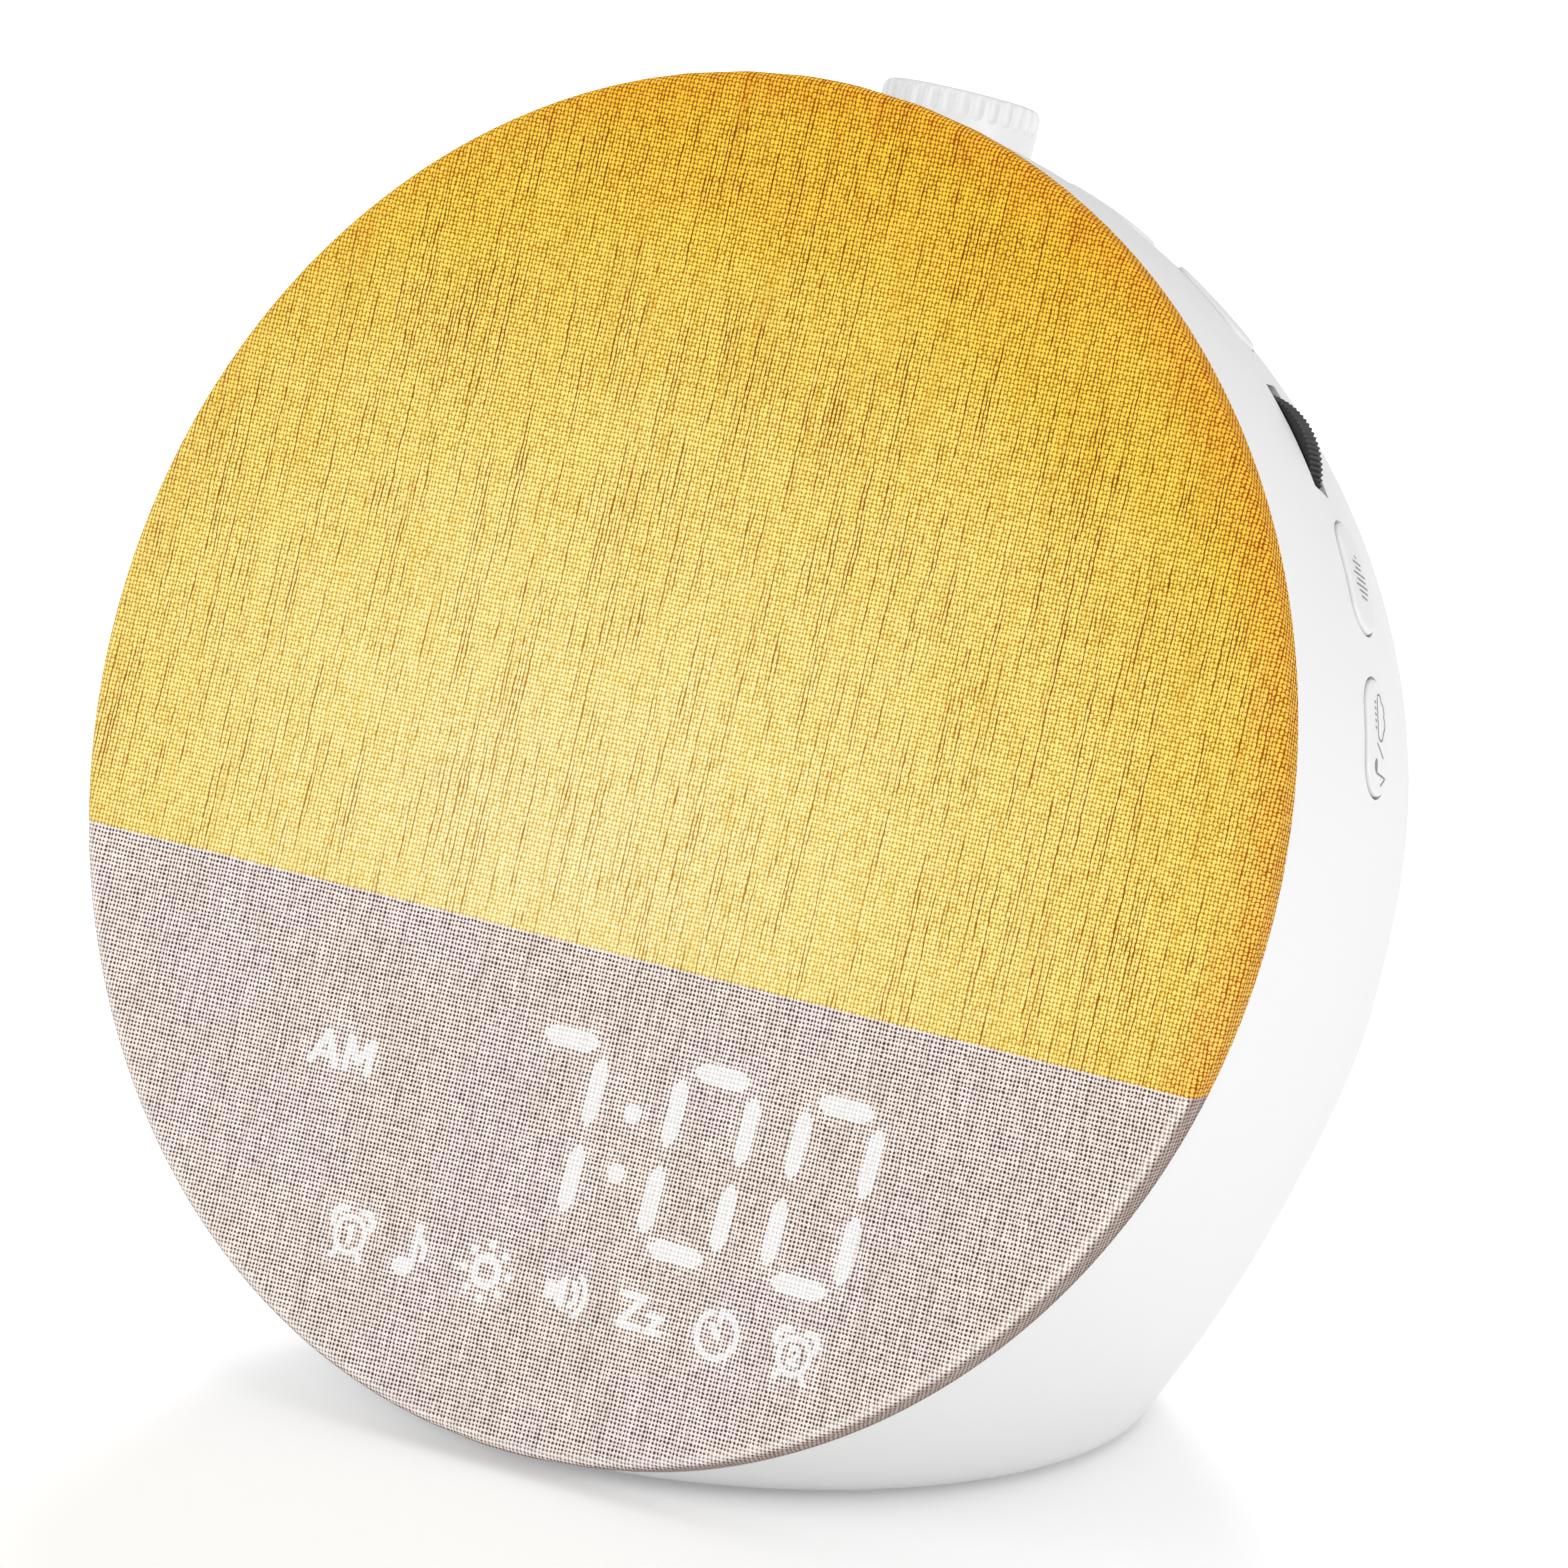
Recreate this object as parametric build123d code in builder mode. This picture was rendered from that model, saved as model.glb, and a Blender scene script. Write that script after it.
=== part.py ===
"""Sunrise alarm clock: a round linen face leaning back on a hollow white body.

Millimetres. +Z is up, the face looks towards -Y, and +X is to the right of a person facing the clock.
The origin is on the table, under the middle of the body. Angles round the face are clock angles:
0 is twelve o'clock and 90 is three o'clock. Depths are measured behind the front of the face.
"""

import os
from math import asin, cos, degrees, hypot, pi, radians, sin, sqrt, tan

from build123d import *

os.makedirs("parts", exist_ok=True)

# ---------------------------------------------------------------- driving dimensions
# Face and stance
FACE_RADIUS = 80.0
TILT = radians(17.0)
FACE_CLEARANCE = 2.5  # lowest point of the face above the table
FACE_Y = -32.5  # centre of the face, ahead of the origin
SLIP = 0.3  # gap between pieces that move or part
FIT = 0.05  # radial clearance of a shaft in its bore

# Linen cover
FABRIC = 0.5
FACE_EDGE_RADIUS = 2.5
FACE_DEPTH = 3.2
HEM = 3.5

# Body shell
WALL = 2.2
RIM_RADIUS = FACE_RADIUS - 0.3
BULGE = 9.0  # centre of the body's widest circle, behind the face centre
BULGE_HEIGHT = FACE_RADIUS - 5.0
BULGE_TOP_LOSS = 5.6
BULGE_FOOT_GAIN = 16.5
BULGE_FOOT_POWER = 2.5
BACK_SPREAD = 6
FLOOR_GAP = 0.8  # underside of the shell above the table
FLOOR_EDGE_RADIUS = 1.8
BASE_RADIUS = 44.2
BASE_CENTRE = 31.0  # behind the face centre
# how far the back comes in from its widest point down to the table
BACK_TUCK = round(FACE_RADIUS + BULGE - BASE_CENTRE - BASE_RADIUS, 3)
BASE_FLARE_START = 3.0
FLARE_HEIGHT = 30.0
FLARE_BLEND = 2.5
OUTLINE_POINTS = 24
SECTION_SHARES = (0, 0.018, 0.045, 0.08, 0.13, 0.19, 0.28, 0.38, 0.49, 0.6, 0.7, 0.8, 0.89, 0.955, 1)
CROWN = 1.2  # the last section's height over the rim

# Base plate
PLATE_RADIUS = BASE_RADIUS - 5.5
PLATE_THICKNESS = 2.0
FOOT_RADIUS = 5.0
FOOT_CIRCLE = round(PLATE_RADIUS - 9.7, 3)
FOOT_SINK = 0.8
BASE_BOSS_CIRCLE = round(PLATE_RADIUS - 3.4, 3)
BASE_BOSS_RADIUS = 4.0
BASE_BOSS_HEIGHT = 9.0
BASE_BOSS_ANGLES = (-20, 20, 160, 200)

# Front frame and chassis
OPENING_RADIUS = FACE_RADIUS - 5.0
FRAME_DEPTH = 2.2
REBATE = 2.0
SKIRT_OUTER = FACE_RADIUS - 3.6
SKIRT_INNER = SKIRT_OUTER - 3.0
SKIRT_END = 9.0
DIVIDER_Y = -22.1
DIVIDER_THICKNESS = 1.8
FRAME_SCREW_CIRCLE = (SKIRT_OUTER + SKIRT_INNER) / 2
FRAME_SCREW_ANGLES = (30, 90, 150, 210, 270, 330)
TAB_WIDTH = 10.0
TAB_DEPTH = 7.0
TAB_THICKNESS = 1.5
TAB_REACH = 2.0
CHASSIS_RADIUS = SKIRT_INNER
CHASSIS_WALL = 1.8
CHASSIS_FLANGE_THICKNESS = 1.5
CHASSIS_FLOOR = 18.5  # depth of the back of the chassis
CHASSIS_FLOOR_THICKNESS = 1.5

# Boards
BOARD = 1.6
LIGHT_LED_SIZE = 5.0
LIGHT_LED_HEIGHT = 1.6
LIGHT_LED_RINGS = ((0, 1), (17, 6), (34, 12), (52, 18))
REFLECTOR = 0.5
REFLECTOR_FRONT = 3.0
LIGHT_SCREW_CIRCLE = 43.0
LIGHT_SCREW_ANGLES = (0, 90, 270)

# Display
MASK = 0.8
MODULE_RADIUS = round(CHASSIS_RADIUS - CHASSIS_WALL - SLIP, 3)
MODULE_TOP = -26.0
MODULE_BOTTOM = -67.0
WINDOW = 1.2
GUIDE_WEB = 0.4
POCKET_GAP = 0.1
PILLARS = ((-40, -30), (40, -30), (-24, -62.5), (20, -62.5))
DISPLAY_SCREWS = ((-46, -34), (46, -34), (-42, -52), (46, -52))
DIGIT_CENTRES = (-3.6, 17.05, 33.85)
TENS_SEGMENT_X = -15.4
DIGIT_WIDTH = 10.1
DIGIT_MIDDLE = -42.8
DIGIT_HEIGHT = 21.2
SEGMENT_LENGTH = 8.1
SEGMENT_ACROSS = 6.5
SEGMENT_WIDTH = 2.0
COLON_X = 6.55
COLON_HALF_SPREAD = 3.5
COLON_RADIUS = 1.2
ICON_Y = -60.7
ICON_XS = (-26.9, -18.0, -7.6, 3.6, 14.0, 24.4, 34.9)
ICON_RADIUS = 3.2
MORNING_MARK = (-34.0, -40.7)
MORNING_MARK_SIZE = (10.0, 6.0)
GUIDE_LENGTH = 6.2
DISPLAY_LED = 1.6
DISPLAY_LED_HEIGHT = 0.8

# Side controls
CONTROL_DEPTH = 24.0
BUTTON_ANGLES = {"alarm_one": 19.7, "alarm_two": 33.3, "light": 60.7, "sound": 74.2}
BUTTON_LENGTH = 13.2
BUTTON_WIDTH = 6.8
BUTTON_GROOVE = 0.35
BUTTON_PROUD = 0.45
BUTTON_EDGE = 0.5
BUTTON_PLATE_DEPTH = 3.0
BUTTON_CAP_DEPTH = 4.6
BUTTON_BLOCK_LENGTH = 9.0
BUTTON_LEDGE_OVERHANG = 0.8
BUTTON_STEM_RADIUS = 1.4
BUTTON_TRAVEL = 0.5
SWITCH_SIZE = 6.0
SWITCH_THICKNESS = 3.6
SWITCH_BORE_DEPTH = 1.8
SWITCH_PLUNGER_RADIUS = 1.7
SWITCH_PLUNGER_LENGTH = 2.6
SWITCH_STANDOFF = 1.6  # plunger tip in front of the switch body
STEM_LENGTH = 2.2
CONTROL_BOARD_DEPTH = 28.0
CONTROL_BOARD_INNER = FACE_RADIUS - 30.0
CONTROL_BOARD_OUTER = FACE_RADIUS - 9.0
CONTROL_BOARD_SPAN = (14.0, 84.0)
CONTROL_POST_CIRCLE = CONTROL_BOARD_INNER + 5.0
CONTROL_POST_RADIUS = 3.0
CONTROL_POST_ANGLES = (19.0, 48.0, 78.0)

# Volume wheel
WHEEL_ANGLE = 48.4
WHEEL_RADIUS = 9.9
WHEEL_THICKNESS = 2.9
WHEEL_DEPTH = 19.5  # front of the wheel
WHEEL_PROUD = 1.2
WHEEL_TEETH = 98
WHEEL_TOOTH_DEPTH = 0.32
WHEEL_SLOT_GAP = 0.95
WHEEL_SIDE_GAP = 0.4
WHEEL_POCKET_RADIUS = 3.0
WHEEL_POCKET_DEPTH = 1.3
WHEEL_SHAFT_RADIUS = 1.5
POT_RADIUS = 4.8
POT_GAP = 0.5

# Dimmer knob and its encoder
KNOB_DEPTH = 29.0
KNOB_RADIUS = 9.35
KNOB_TOP = FACE_RADIUS + 3.4
KNOB_BAND = 3.3
KNOB_BOTTOM = FACE_RADIUS - 10.5
KNOB_WALL = 1.6
KNOB_ROOF = 1.8
KNOB_EDGE_RADIUS = 1.2
KNOB_FLUTES = 32
KNOB_FLUTE_RADIUS = 0.8
KNOB_FLUTE_DEPTH = 0.42
KNOB_HUB_RADIUS = 5.0
KNOB_TRAVEL = 0.6
ENCODER_SHAFT_RADIUS = 3.0
ENCODER_SHAFT_BOTTOM = FACE_RADIUS - 17.0
ENCODER_SHAFT_TOP = FACE_RADIUS + 0.6
ENCODER_PIN_RADIUS = 1.2
ENCODER_PIN_LENGTH = 2.5
ENCODER_BODY = (12.0, 12.4, 6.5)
ENCODER_BUSH_RADIUS = 4.5
ENCODER_BUSH_LENGTH = 5.0
ENCODER_BOARD = (20.0, 17.0)
ENCODER_BOARD_BOTTOM = FACE_RADIUS - 26.0
SHELF_WIDTH = 21.0
SHELF_THICKNESS = 1.6
SHELF_REACH = 19.0

# Speaker
SPEAKER_Z = BULGE_HEIGHT + 1.0
SPEAKER_RADIUS = 25.0
SPEAKER_SEAT = 9.0  # seat of the gasket, in front of the back of the body
SPEAKER_RING_WALL = 4.5
GASKET = 1.0
BASKET_FLANGE = 1.5
BASKET_DEPTH = 14.0
BASKET_REAR_RADIUS = 14.5
BASKET_WALL = 1.0
SPEAKER_SCREW_CIRCLE = 22.8
BASKET_OPENING = 19.8
MAGNET_RADIUS = 16.0
MAGNET_THICKNESS = 8.0
CONE_RADIUS = 18.4
CONE_NECK_RADIUS = 7.0
POLE_RADIUS = 5.7
MAGNET_BORE = 7.6
CONE_DEPTH = 7.5
CONE_THICKNESS = 0.8
COIL_LENGTH = 3.0
CONE_TRAVEL = 0.5
GRILLE_HOLE_RADIUS = 1.3
GRILLE_RINGS = ((0, 1), (4.5, 6), (9, 12), (13.5, 18))

# Main board and power inlet
MAIN_BOARD = (50.0, 58.0)
MAIN_BOARD_Y = 5.0
MAIN_BOARD_Z = 12.0
MAIN_POST_RADIUS = 3.0
MAIN_POSTS = ((-20, -17), (20, -17), (-20, 25), (20, 25))
JACK_BODY = (9.0, 14.5, 11.0)
JACK_SETBACK = 2.8
JACK_BORE_RADIUS = 3.1
JACK_BORE_DEPTH = 9.5
JACK_AXIS_HEIGHT = 6.5
JACK_PIN_RADIUS = 1.0
JACK_RECESS = 1.2
INLET_RADIUS = 4.6
CELL_RADIUS = 10.0
CELL_THICKNESS = 3.2
CELL_X = -12.0
CELL_Y = -6.0

# Screws: shank radius, head radius, head height, length under the head
SMALL_SCREW = (0.9, 1.8, 1.3, 6.0)
BASE_SCREW = (1.3, 2.6, 1.2, 7.0)
POST_ROOT = 0.5  # a post starts this deep inside what it stands on
SCREW_BITE = 0.02  # the thread's outer surface lies this far inside its pilot hole
RECESS_WIDTH = 0.5

# ---------------------------------------------------------------- worked out from those
FACE_Z = FACE_RADIUS * cos(TILT) + FACE_CLEARANCE
FACE = Plane(origin=(0, FACE_Y, FACE_Z), x_dir=(1, 0, 0), z_dir=(0, -cos(TILT), sin(TILT)))
SECTION = Plane(origin=FACE.origin, x_dir=(1, 0, 0), z_dir=(0, -sin(TILT), -cos(TILT)))
FACE_AXIS = Axis(FACE.origin, FACE.z_dir)
RIM_DEPTH = FACE_DEPTH + SLIP
RIM_CENTRE = FACE.from_local_coords((0, 0, -RIM_DEPTH))
RIM_TOP = RIM_CENTRE.Z + RIM_RADIUS * cos(TILT)
BASE_Y = FACE_Y + BASE_CENTRE
BALL_CENTRE = Vector(0, FACE_Y + BULGE, BULGE_HEIGHT)
BALL_RADIUS = hypot(RIM_RADIUS, BULGE)
INSIDE = 1 - WALL / BALL_RADIUS  # the inner surface is the outer one drawn smaller about its centre
MID_WALL = 1 - WALL / BALL_RADIUS / 2
PROUD = 1 + BUTTON_PROUD / BALL_RADIUS


def layer(depth):
    """The plane parallel to the face at a depth behind it."""
    return FACE.offset(-depth)


def on_dial(radius, angle):
    """A point of a plane parallel to the face, at a clock angle."""
    return (radius * sin(radians(angle)), radius * cos(radians(angle)))


def dial_spots(radius, angles):
    return [on_dial(radius, angle) for angle in angles]


def ring_spots(rings):
    """Evenly spaced spots on circles, from (radius, count) pairs."""
    return [on_dial(radius, 360 * i / count) for radius, count in rings for i in range(count)]


def outward_plane(angle, radius, depth):
    """A plane that faces outward at a clock angle, x along the rim and y towards the back."""
    x, y = on_dial(radius, angle)
    outward = FACE.from_local_coords((x, y, -depth)), FACE.from_local_coords((0, 0, -depth))
    return Plane(origin=outward[0], x_dir=tangent_of(angle), z_dir=outward[0] - outward[1])


def tangent_of(angle):
    """The direction round the rim, clockwise, at a clock angle."""
    x, y = on_dial(1, angle + 90)
    return FACE.from_local_coords((x, y, 0)) - FACE.origin


def save(piece, name):
    """Labels a finished piece and writes its STEP file."""
    piece.part.label = name
    export_step(piece.part, f"parts/{name}.step")


# ---------------------------------------------------------------- the body's outer form
def ball_circle(z):
    """Centre y and radius of the level circle through both sides of the rim at a height."""
    rise = (z - RIM_CENTRE.Z) / cos(TILT)
    rim_y = RIM_CENTRE.Y + rise * sin(TILT)
    share = (z - BULGE_HEIGHT) / BULGE_HEIGHT
    lean = -BULGE_TOP_LOSS * share**2 if share > 0 else BULGE_FOOT_GAIN * (-share) ** BULGE_FOOT_POWER
    centre_y = FACE_Y + BULGE + lean
    return centre_y, sqrt(RIM_RADIUS**2 - rise**2 + (rim_y - centre_y) ** 2)


def flare_circle(z):
    """Centre y and radius of the spreading foot, from the base up to where it meets the ball."""
    share = (z - BASE_FLARE_START) / (FLARE_HEIGHT - BASE_FLARE_START)
    top_y, top_radius = ball_circle(FLARE_HEIGHT)
    return BASE_Y + (top_y - BASE_Y) * share, BASE_RADIUS + (top_radius - BASE_RADIUS) * share


def fullness(z):
    """How much further back the body goes than its circles, which keeps the line of the back rounded."""
    if z >= BULGE_HEIGHT:
        return 0
    plain = sum(ball_circle(z)) if z >= FLARE_HEIGHT else sum(flare_circle(max(z, BASE_FLARE_START)))
    return max(0, sum(ball_circle(BULGE_HEIGHT)) - BACK_TUCK * (1 - z / BULGE_HEIGHT) ** 2 - plain)


def plain_reach(z, angle):
    """How far the body's circles reach in a level direction, and the change of that with the angle."""
    ball_y, ball_radius = ball_circle(z)
    ball, ball_turn = ball_y * cos(angle) + ball_radius, -ball_y * sin(angle)
    if z >= FLARE_HEIGHT:
        return ball, ball_turn
    foot_y, foot_radius = flare_circle(max(z, BASE_FLARE_START))
    foot, foot_turn = foot_y * cos(angle) + foot_radius, -foot_y * sin(angle)
    if z <= FLOOR_GAP:
        return foot, foot_turn
    half, half_turn = (ball - foot) / 2, (ball_turn - foot_turn) / 2
    blend = FLARE_BLEND * (1 - z / FLARE_HEIGHT)
    root = sqrt(half**2 + blend**2)
    return (ball + foot) / 2 + root, (ball_turn + foot_turn) / 2 + half * half_turn / root


def reach(z, angle):
    """How far the body reaches in a level direction, with the fullness of its back."""
    distance, turn = plain_reach(z, angle)
    if cos(angle) > 0:
        distance += fullness(z) * cos(angle) ** BACK_SPREAD
        turn -= fullness(z) * BACK_SPREAD * cos(angle) ** (BACK_SPREAD - 1) * sin(angle)
    return distance, turn


def outline_point(z, angle):
    distance, turn = reach(z, angle)
    return (distance * sin(angle) + turn * cos(angle), distance * cos(angle) - turn * sin(angle))


def section_heights():
    span = RIM_TOP + CROWN - FLOOR_GAP
    return [FLOOR_GAP + span * share for share in SECTION_SHARES]


def body_form(scale_factor):
    """The body as a solid, drawn larger or smaller about the centre of its ball."""
    with BuildPart() as form:
        for z in section_heights():
            level = BALL_CENTRE.Z + (z - BALL_CENTRE.Z) * scale_factor
            with BuildSketch(Plane.XY.offset(level)):
                with BuildLine():
                    points = []
                    for i in range(OUTLINE_POINTS):
                        x, y = outline_point(z, 2 * pi * i / OUTLINE_POINTS)
                        points.append((x * scale_factor, BALL_CENTRE.Y + (y - BALL_CENTRE.Y) * scale_factor))
                    Spline(*points, periodic=True)
                make_face()
        loft()
    return form.part


def surface_radius(angle, depth):
    """Distance of the body's surface from the face's axis, at a clock angle and a depth."""
    low, high = 0.0, 2 * FACE_RADIUS
    while high - low > 1e-4:
        middle = (low + high) / 2
        x, y = on_dial(middle, angle)
        point = FACE.from_local_coords((x, y, -depth))
        centre_y, radius = ball_circle(min(max(point.Z, FLOOR_GAP), RIM_TOP + CROWN))
        if hypot(point.X, point.Y - centre_y) < radius:
            low = middle
        else:
            high = middle
    return low


def back_y(z):
    """The rearmost point of the body at a height."""
    return outline_point(z, 0)[1]


# ---------------------------------------------------------------- screws
def add_screws(plane, spots, size):
    """Pan-head screws whose heads stand on the plane's outer side."""
    shank, head, head_height, length = size
    with BuildSketch(plane) as heads:
        with Locations(*spots):
            Circle(head)
    extrude(heads.sketch, amount=head_height)
    with BuildSketch(plane.offset(head_height / 2)) as recesses:
        with Locations(*spots):
            Rectangle(head * 1.2, RECESS_WIDTH)
            Rectangle(RECESS_WIDTH, head * 1.2)
    extrude(recesses.sketch, amount=head_height, mode=Mode.SUBTRACT)
    with BuildSketch(plane) as shanks:
        with Locations(*spots):
            Circle(shank - SCREW_BITE)
    extrude(shanks.sketch, amount=-length)


def cut_holes(plane, spots, radius, depth):
    """Round blind holes from the plane inwards."""
    with BuildSketch(plane) as holes:
        with Locations(*spots):
            Circle(radius)
    extrude(holes.sketch, amount=-depth, mode=Mode.SUBTRACT)


def add_posts(plane, spots, radius, height, root=0):
    """Round posts standing on the plane, rooted this deep below it."""
    with BuildSketch(plane.offset(-root)) as posts:
        with Locations(*spots):
            Circle(radius)
    extrude(posts.sketch, amount=height + root)


def add_boxes(plane, spots, size):
    """Boxes standing on the plane, each centred on its spot."""
    with BuildSketch(plane) as boxes:
        with Locations(*spots):
            Rectangle(size[0], size[1])
    extrude(boxes.sketch, amount=size[2])


def spin(plane, profile, mode=Mode.ADD):
    """A turned solid about the plane's normal, from (radius, height) corners."""
    with BuildSketch(Plane(origin=plane.origin, x_dir=plane.x_dir, z_dir=-plane.y_dir)) as half:
        with BuildLine():
            Polyline(*profile, close=True)
        make_face()
    revolve(half.sketch, axis=Axis(plane.origin, plane.z_dir), mode=mode)


# ---------------------------------------------------------------- rear shell
BUTTON_RADIUS_AT = {name: surface_radius(a, CONTROL_DEPTH) for name, a in BUTTON_ANGLES.items()}
WHEEL_CENTRE_RADIUS = surface_radius(WHEEL_ANGLE, WHEEL_DEPTH) + WHEEL_PROUD - WHEEL_RADIUS
KNOB_PLANE = outward_plane(0, 0.001, KNOB_DEPTH).offset(-0.001)
SPEAKER_SEAT_Y = back_y(SPEAKER_Z) - SPEAKER_SEAT
SPEAKER_PLANE = Plane(origin=(0, SPEAKER_SEAT_Y, SPEAKER_Z), x_dir=(-1, 0, 0), z_dir=(0, 1, 0))
SPEAKER_SCREW_SPOTS = ring_spots(((SPEAKER_SCREW_CIRCLE, 4),))
BASE_BOSS_SPOTS = [
    (BASE_BOSS_CIRCLE * cos(radians(a)), BASE_Y + BASE_BOSS_CIRCLE * sin(radians(a))) for a in BASE_BOSS_ANGLES
]
FLOOR_TOP = BALL_CENTRE.Z + (FLOOR_GAP - BALL_CENTRE.Z) * INSIDE
PLATE_TOP = FLOOR_GAP + PLATE_THICKNESS
JACK_AXIS_Z = MAIN_BOARD_Z + BOARD + JACK_AXIS_HEIGHT

outer_form = body_form(1.0)
inner_form = body_form(INSIDE)
boss_limit = body_form(MID_WALL)
proud_form = body_form(PROUD)

with BuildPart() as shell_bosses:
    with BuildSketch(Plane.XY.offset(PLATE_TOP)):
        with Locations(*BASE_BOSS_SPOTS):
            Circle(BASE_BOSS_RADIUS)
        for x, y in BASE_BOSS_SPOTS:
            with Locations((x * 1.2, y)):
                Rectangle(abs(x) * 0.4, BASE_BOSS_RADIUS)
    extrude(amount=BASE_BOSS_HEIGHT)
    with BuildSketch(SPEAKER_PLANE):
        Circle(SPEAKER_RADIUS)
        Circle(SPEAKER_RADIUS - SPEAKER_RING_WALL, mode=Mode.SUBTRACT)
    extrude(amount=2 * SPEAKER_SEAT)
    add(boss_limit, mode=Mode.INTERSECT)

with BuildPart() as rear_shell:
    add(outer_form)
    fillet(rear_shell.faces().sort_by(Axis.Z)[0].edges(), FLOOR_EDGE_RADIUS)
    add(inner_form, mode=Mode.SUBTRACT)
    # base opening
    with BuildSketch(Plane.XY):
        with Locations((0, BASE_Y)):
            Circle(PLATE_RADIUS + SLIP)
    extrude(amount=FLOOR_TOP + WALL, mode=Mode.SUBTRACT)
    add(shell_bosses.part)
    # front opening, square to the tilted face
    with BuildSketch(layer(RIM_DEPTH)):
        Rectangle(4 * FACE_RADIUS, 4 * FACE_RADIUS)
    extrude(amount=2 * FACE_RADIUS, mode=Mode.SUBTRACT)
    # pilot holes over the base plate
    cut_holes(Plane.XY.offset(PLATE_TOP), BASE_BOSS_SPOTS, BASE_SCREW[0], -BASE_SCREW[3])
    # pockets that the front frame's tabs snap into
    with BuildSketch(layer(TAB_DEPTH - SLIP)):
        with PolarLocations(SKIRT_OUTER + TAB_REACH / 2, 4, start_angle=45):
            Rectangle(TAB_REACH + SLIP, TAB_WIDTH + 2 * SLIP)
    extrude(amount=-(TAB_THICKNESS + 2 * SLIP), mode=Mode.SUBTRACT)
    # button windows
    for name, angle in BUTTON_ANGLES.items():
        with BuildSketch(outward_plane(angle, BUTTON_RADIUS_AT[name] - 2 * BUTTON_CAP_DEPTH, CONTROL_DEPTH)):
            SlotOverall(BUTTON_LENGTH + 2 * BUTTON_GROOVE, BUTTON_WIDTH + 2 * BUTTON_GROOVE)
        extrude(amount=4 * BUTTON_CAP_DEPTH, mode=Mode.SUBTRACT)
    # slot for the volume wheel
    with BuildSketch(layer(WHEEL_DEPTH - WHEEL_SIDE_GAP)):
        with Locations(on_dial(WHEEL_CENTRE_RADIUS, WHEEL_ANGLE)):
            Circle(WHEEL_RADIUS + WHEEL_SLOT_GAP)
    extrude(amount=-(WHEEL_THICKNESS + 2 * WHEEL_SIDE_GAP), mode=Mode.SUBTRACT)
    # hole for the knob's skirt
    with BuildSketch(KNOB_PLANE.offset(KNOB_BOTTOM - KNOB_WALL)):
        Circle(KNOB_RADIUS + SLIP)
    extrude(amount=FACE_RADIUS, mode=Mode.SUBTRACT)
    # speaker grille and screw holes
    with BuildSketch(SPEAKER_PLANE):
        with Locations(*ring_spots(GRILLE_RINGS)):
            Circle(GRILLE_HOLE_RADIUS)
    extrude(amount=2 * SPEAKER_SEAT, mode=Mode.SUBTRACT)
    cut_holes(SPEAKER_PLANE, SPEAKER_SCREW_SPOTS, SMALL_SCREW[0], GASKET + BASKET_FLANGE - SMALL_SCREW[3] - 0.3)
    # power inlet
    with BuildSketch(Plane(origin=(0, 0, JACK_AXIS_Z), x_dir=(-1, 0, 0), z_dir=(0, 1, 0))):
        Circle(INLET_RADIUS)
    extrude(amount=FACE_RADIUS, mode=Mode.SUBTRACT)
save(rear_shell, "rear_shell")


# ---------------------------------------------------------------- linen cover and front frame
with BuildPart() as frame_blank:
    with BuildSketch(layer(FABRIC)):
        Circle(FACE_RADIUS - FABRIC)
    extrude(amount=-FRAME_DEPTH)
    fillet(frame_blank.faces().sort_by(FACE_AXIS)[-1].edges(), FACE_EDGE_RADIUS - FABRIC)

with BuildPart() as fabric_cover:
    with BuildSketch(layer(0)):
        Circle(FACE_RADIUS)
    extrude(amount=-FACE_DEPTH)
    fillet(fabric_cover.faces().sort_by(FACE_AXIS)[-1].edges(), FACE_EDGE_RADIUS)
    add(frame_blank.part, mode=Mode.SUBTRACT)
    cut_holes(layer(FABRIC + FRAME_DEPTH), [(0, 0)], FACE_RADIUS - HEM, FACE_DEPTH)
save(fabric_cover, "fabric_cover")

FRAME_SCREW_SPOTS = dial_spots(FRAME_SCREW_CIRCLE, FRAME_SCREW_ANGLES)
with BuildPart() as front_frame:
    add(frame_blank.part)
    cut_holes(layer(FABRIC), [(0, 0)], OPENING_RADIUS, FRAME_DEPTH)
    with BuildSketch(layer(FABRIC + REBATE)):
        Circle(SKIRT_OUTER)
        Circle(SKIRT_INNER, mode=Mode.SUBTRACT)
    extrude(amount=-(SKIRT_END - FABRIC - REBATE))
    # bar between the light and the display
    with BuildSketch(layer(FABRIC)):
        Circle(OPENING_RADIUS + 0.5)
        with Locations((0, DIVIDER_Y)):
            Rectangle(2 * FACE_RADIUS, DIVIDER_THICKNESS, mode=Mode.INTERSECT)
    extrude(amount=-REBATE)
    with BuildSketch(layer(FABRIC + REBATE)):
        Circle(SKIRT_INNER + 0.5)
        with Locations((0, DIVIDER_Y)):
            Rectangle(2 * FACE_RADIUS, DIVIDER_THICKNESS, mode=Mode.INTERSECT)
    extrude(amount=-(SKIRT_END - FABRIC - REBATE))
    # snap tabs
    with BuildSketch(layer(TAB_DEPTH)):
        with PolarLocations(SKIRT_OUTER + TAB_REACH / 2 - 0.5, 4, start_angle=45):
            Rectangle(TAB_REACH + 1, TAB_WIDTH)
    extrude(amount=-TAB_THICKNESS)
    cut_holes(layer(SKIRT_END), FRAME_SCREW_SPOTS, SMALL_SCREW[0], -SMALL_SCREW[3] + 1)
save(front_frame, "front_frame")


# ---------------------------------------------------------------- light above the bar
def draw_upper(radius, inset):
    """The part of a disc above the bar, in the current sketch."""
    Circle(radius)
    with Locations((0, DIVIDER_Y + DIVIDER_THICKNESS / 2 + inset)):
        Rectangle(2 * radius, 2 * radius, align=(Align.CENTER, Align.MIN), mode=Mode.INTERSECT)


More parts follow.
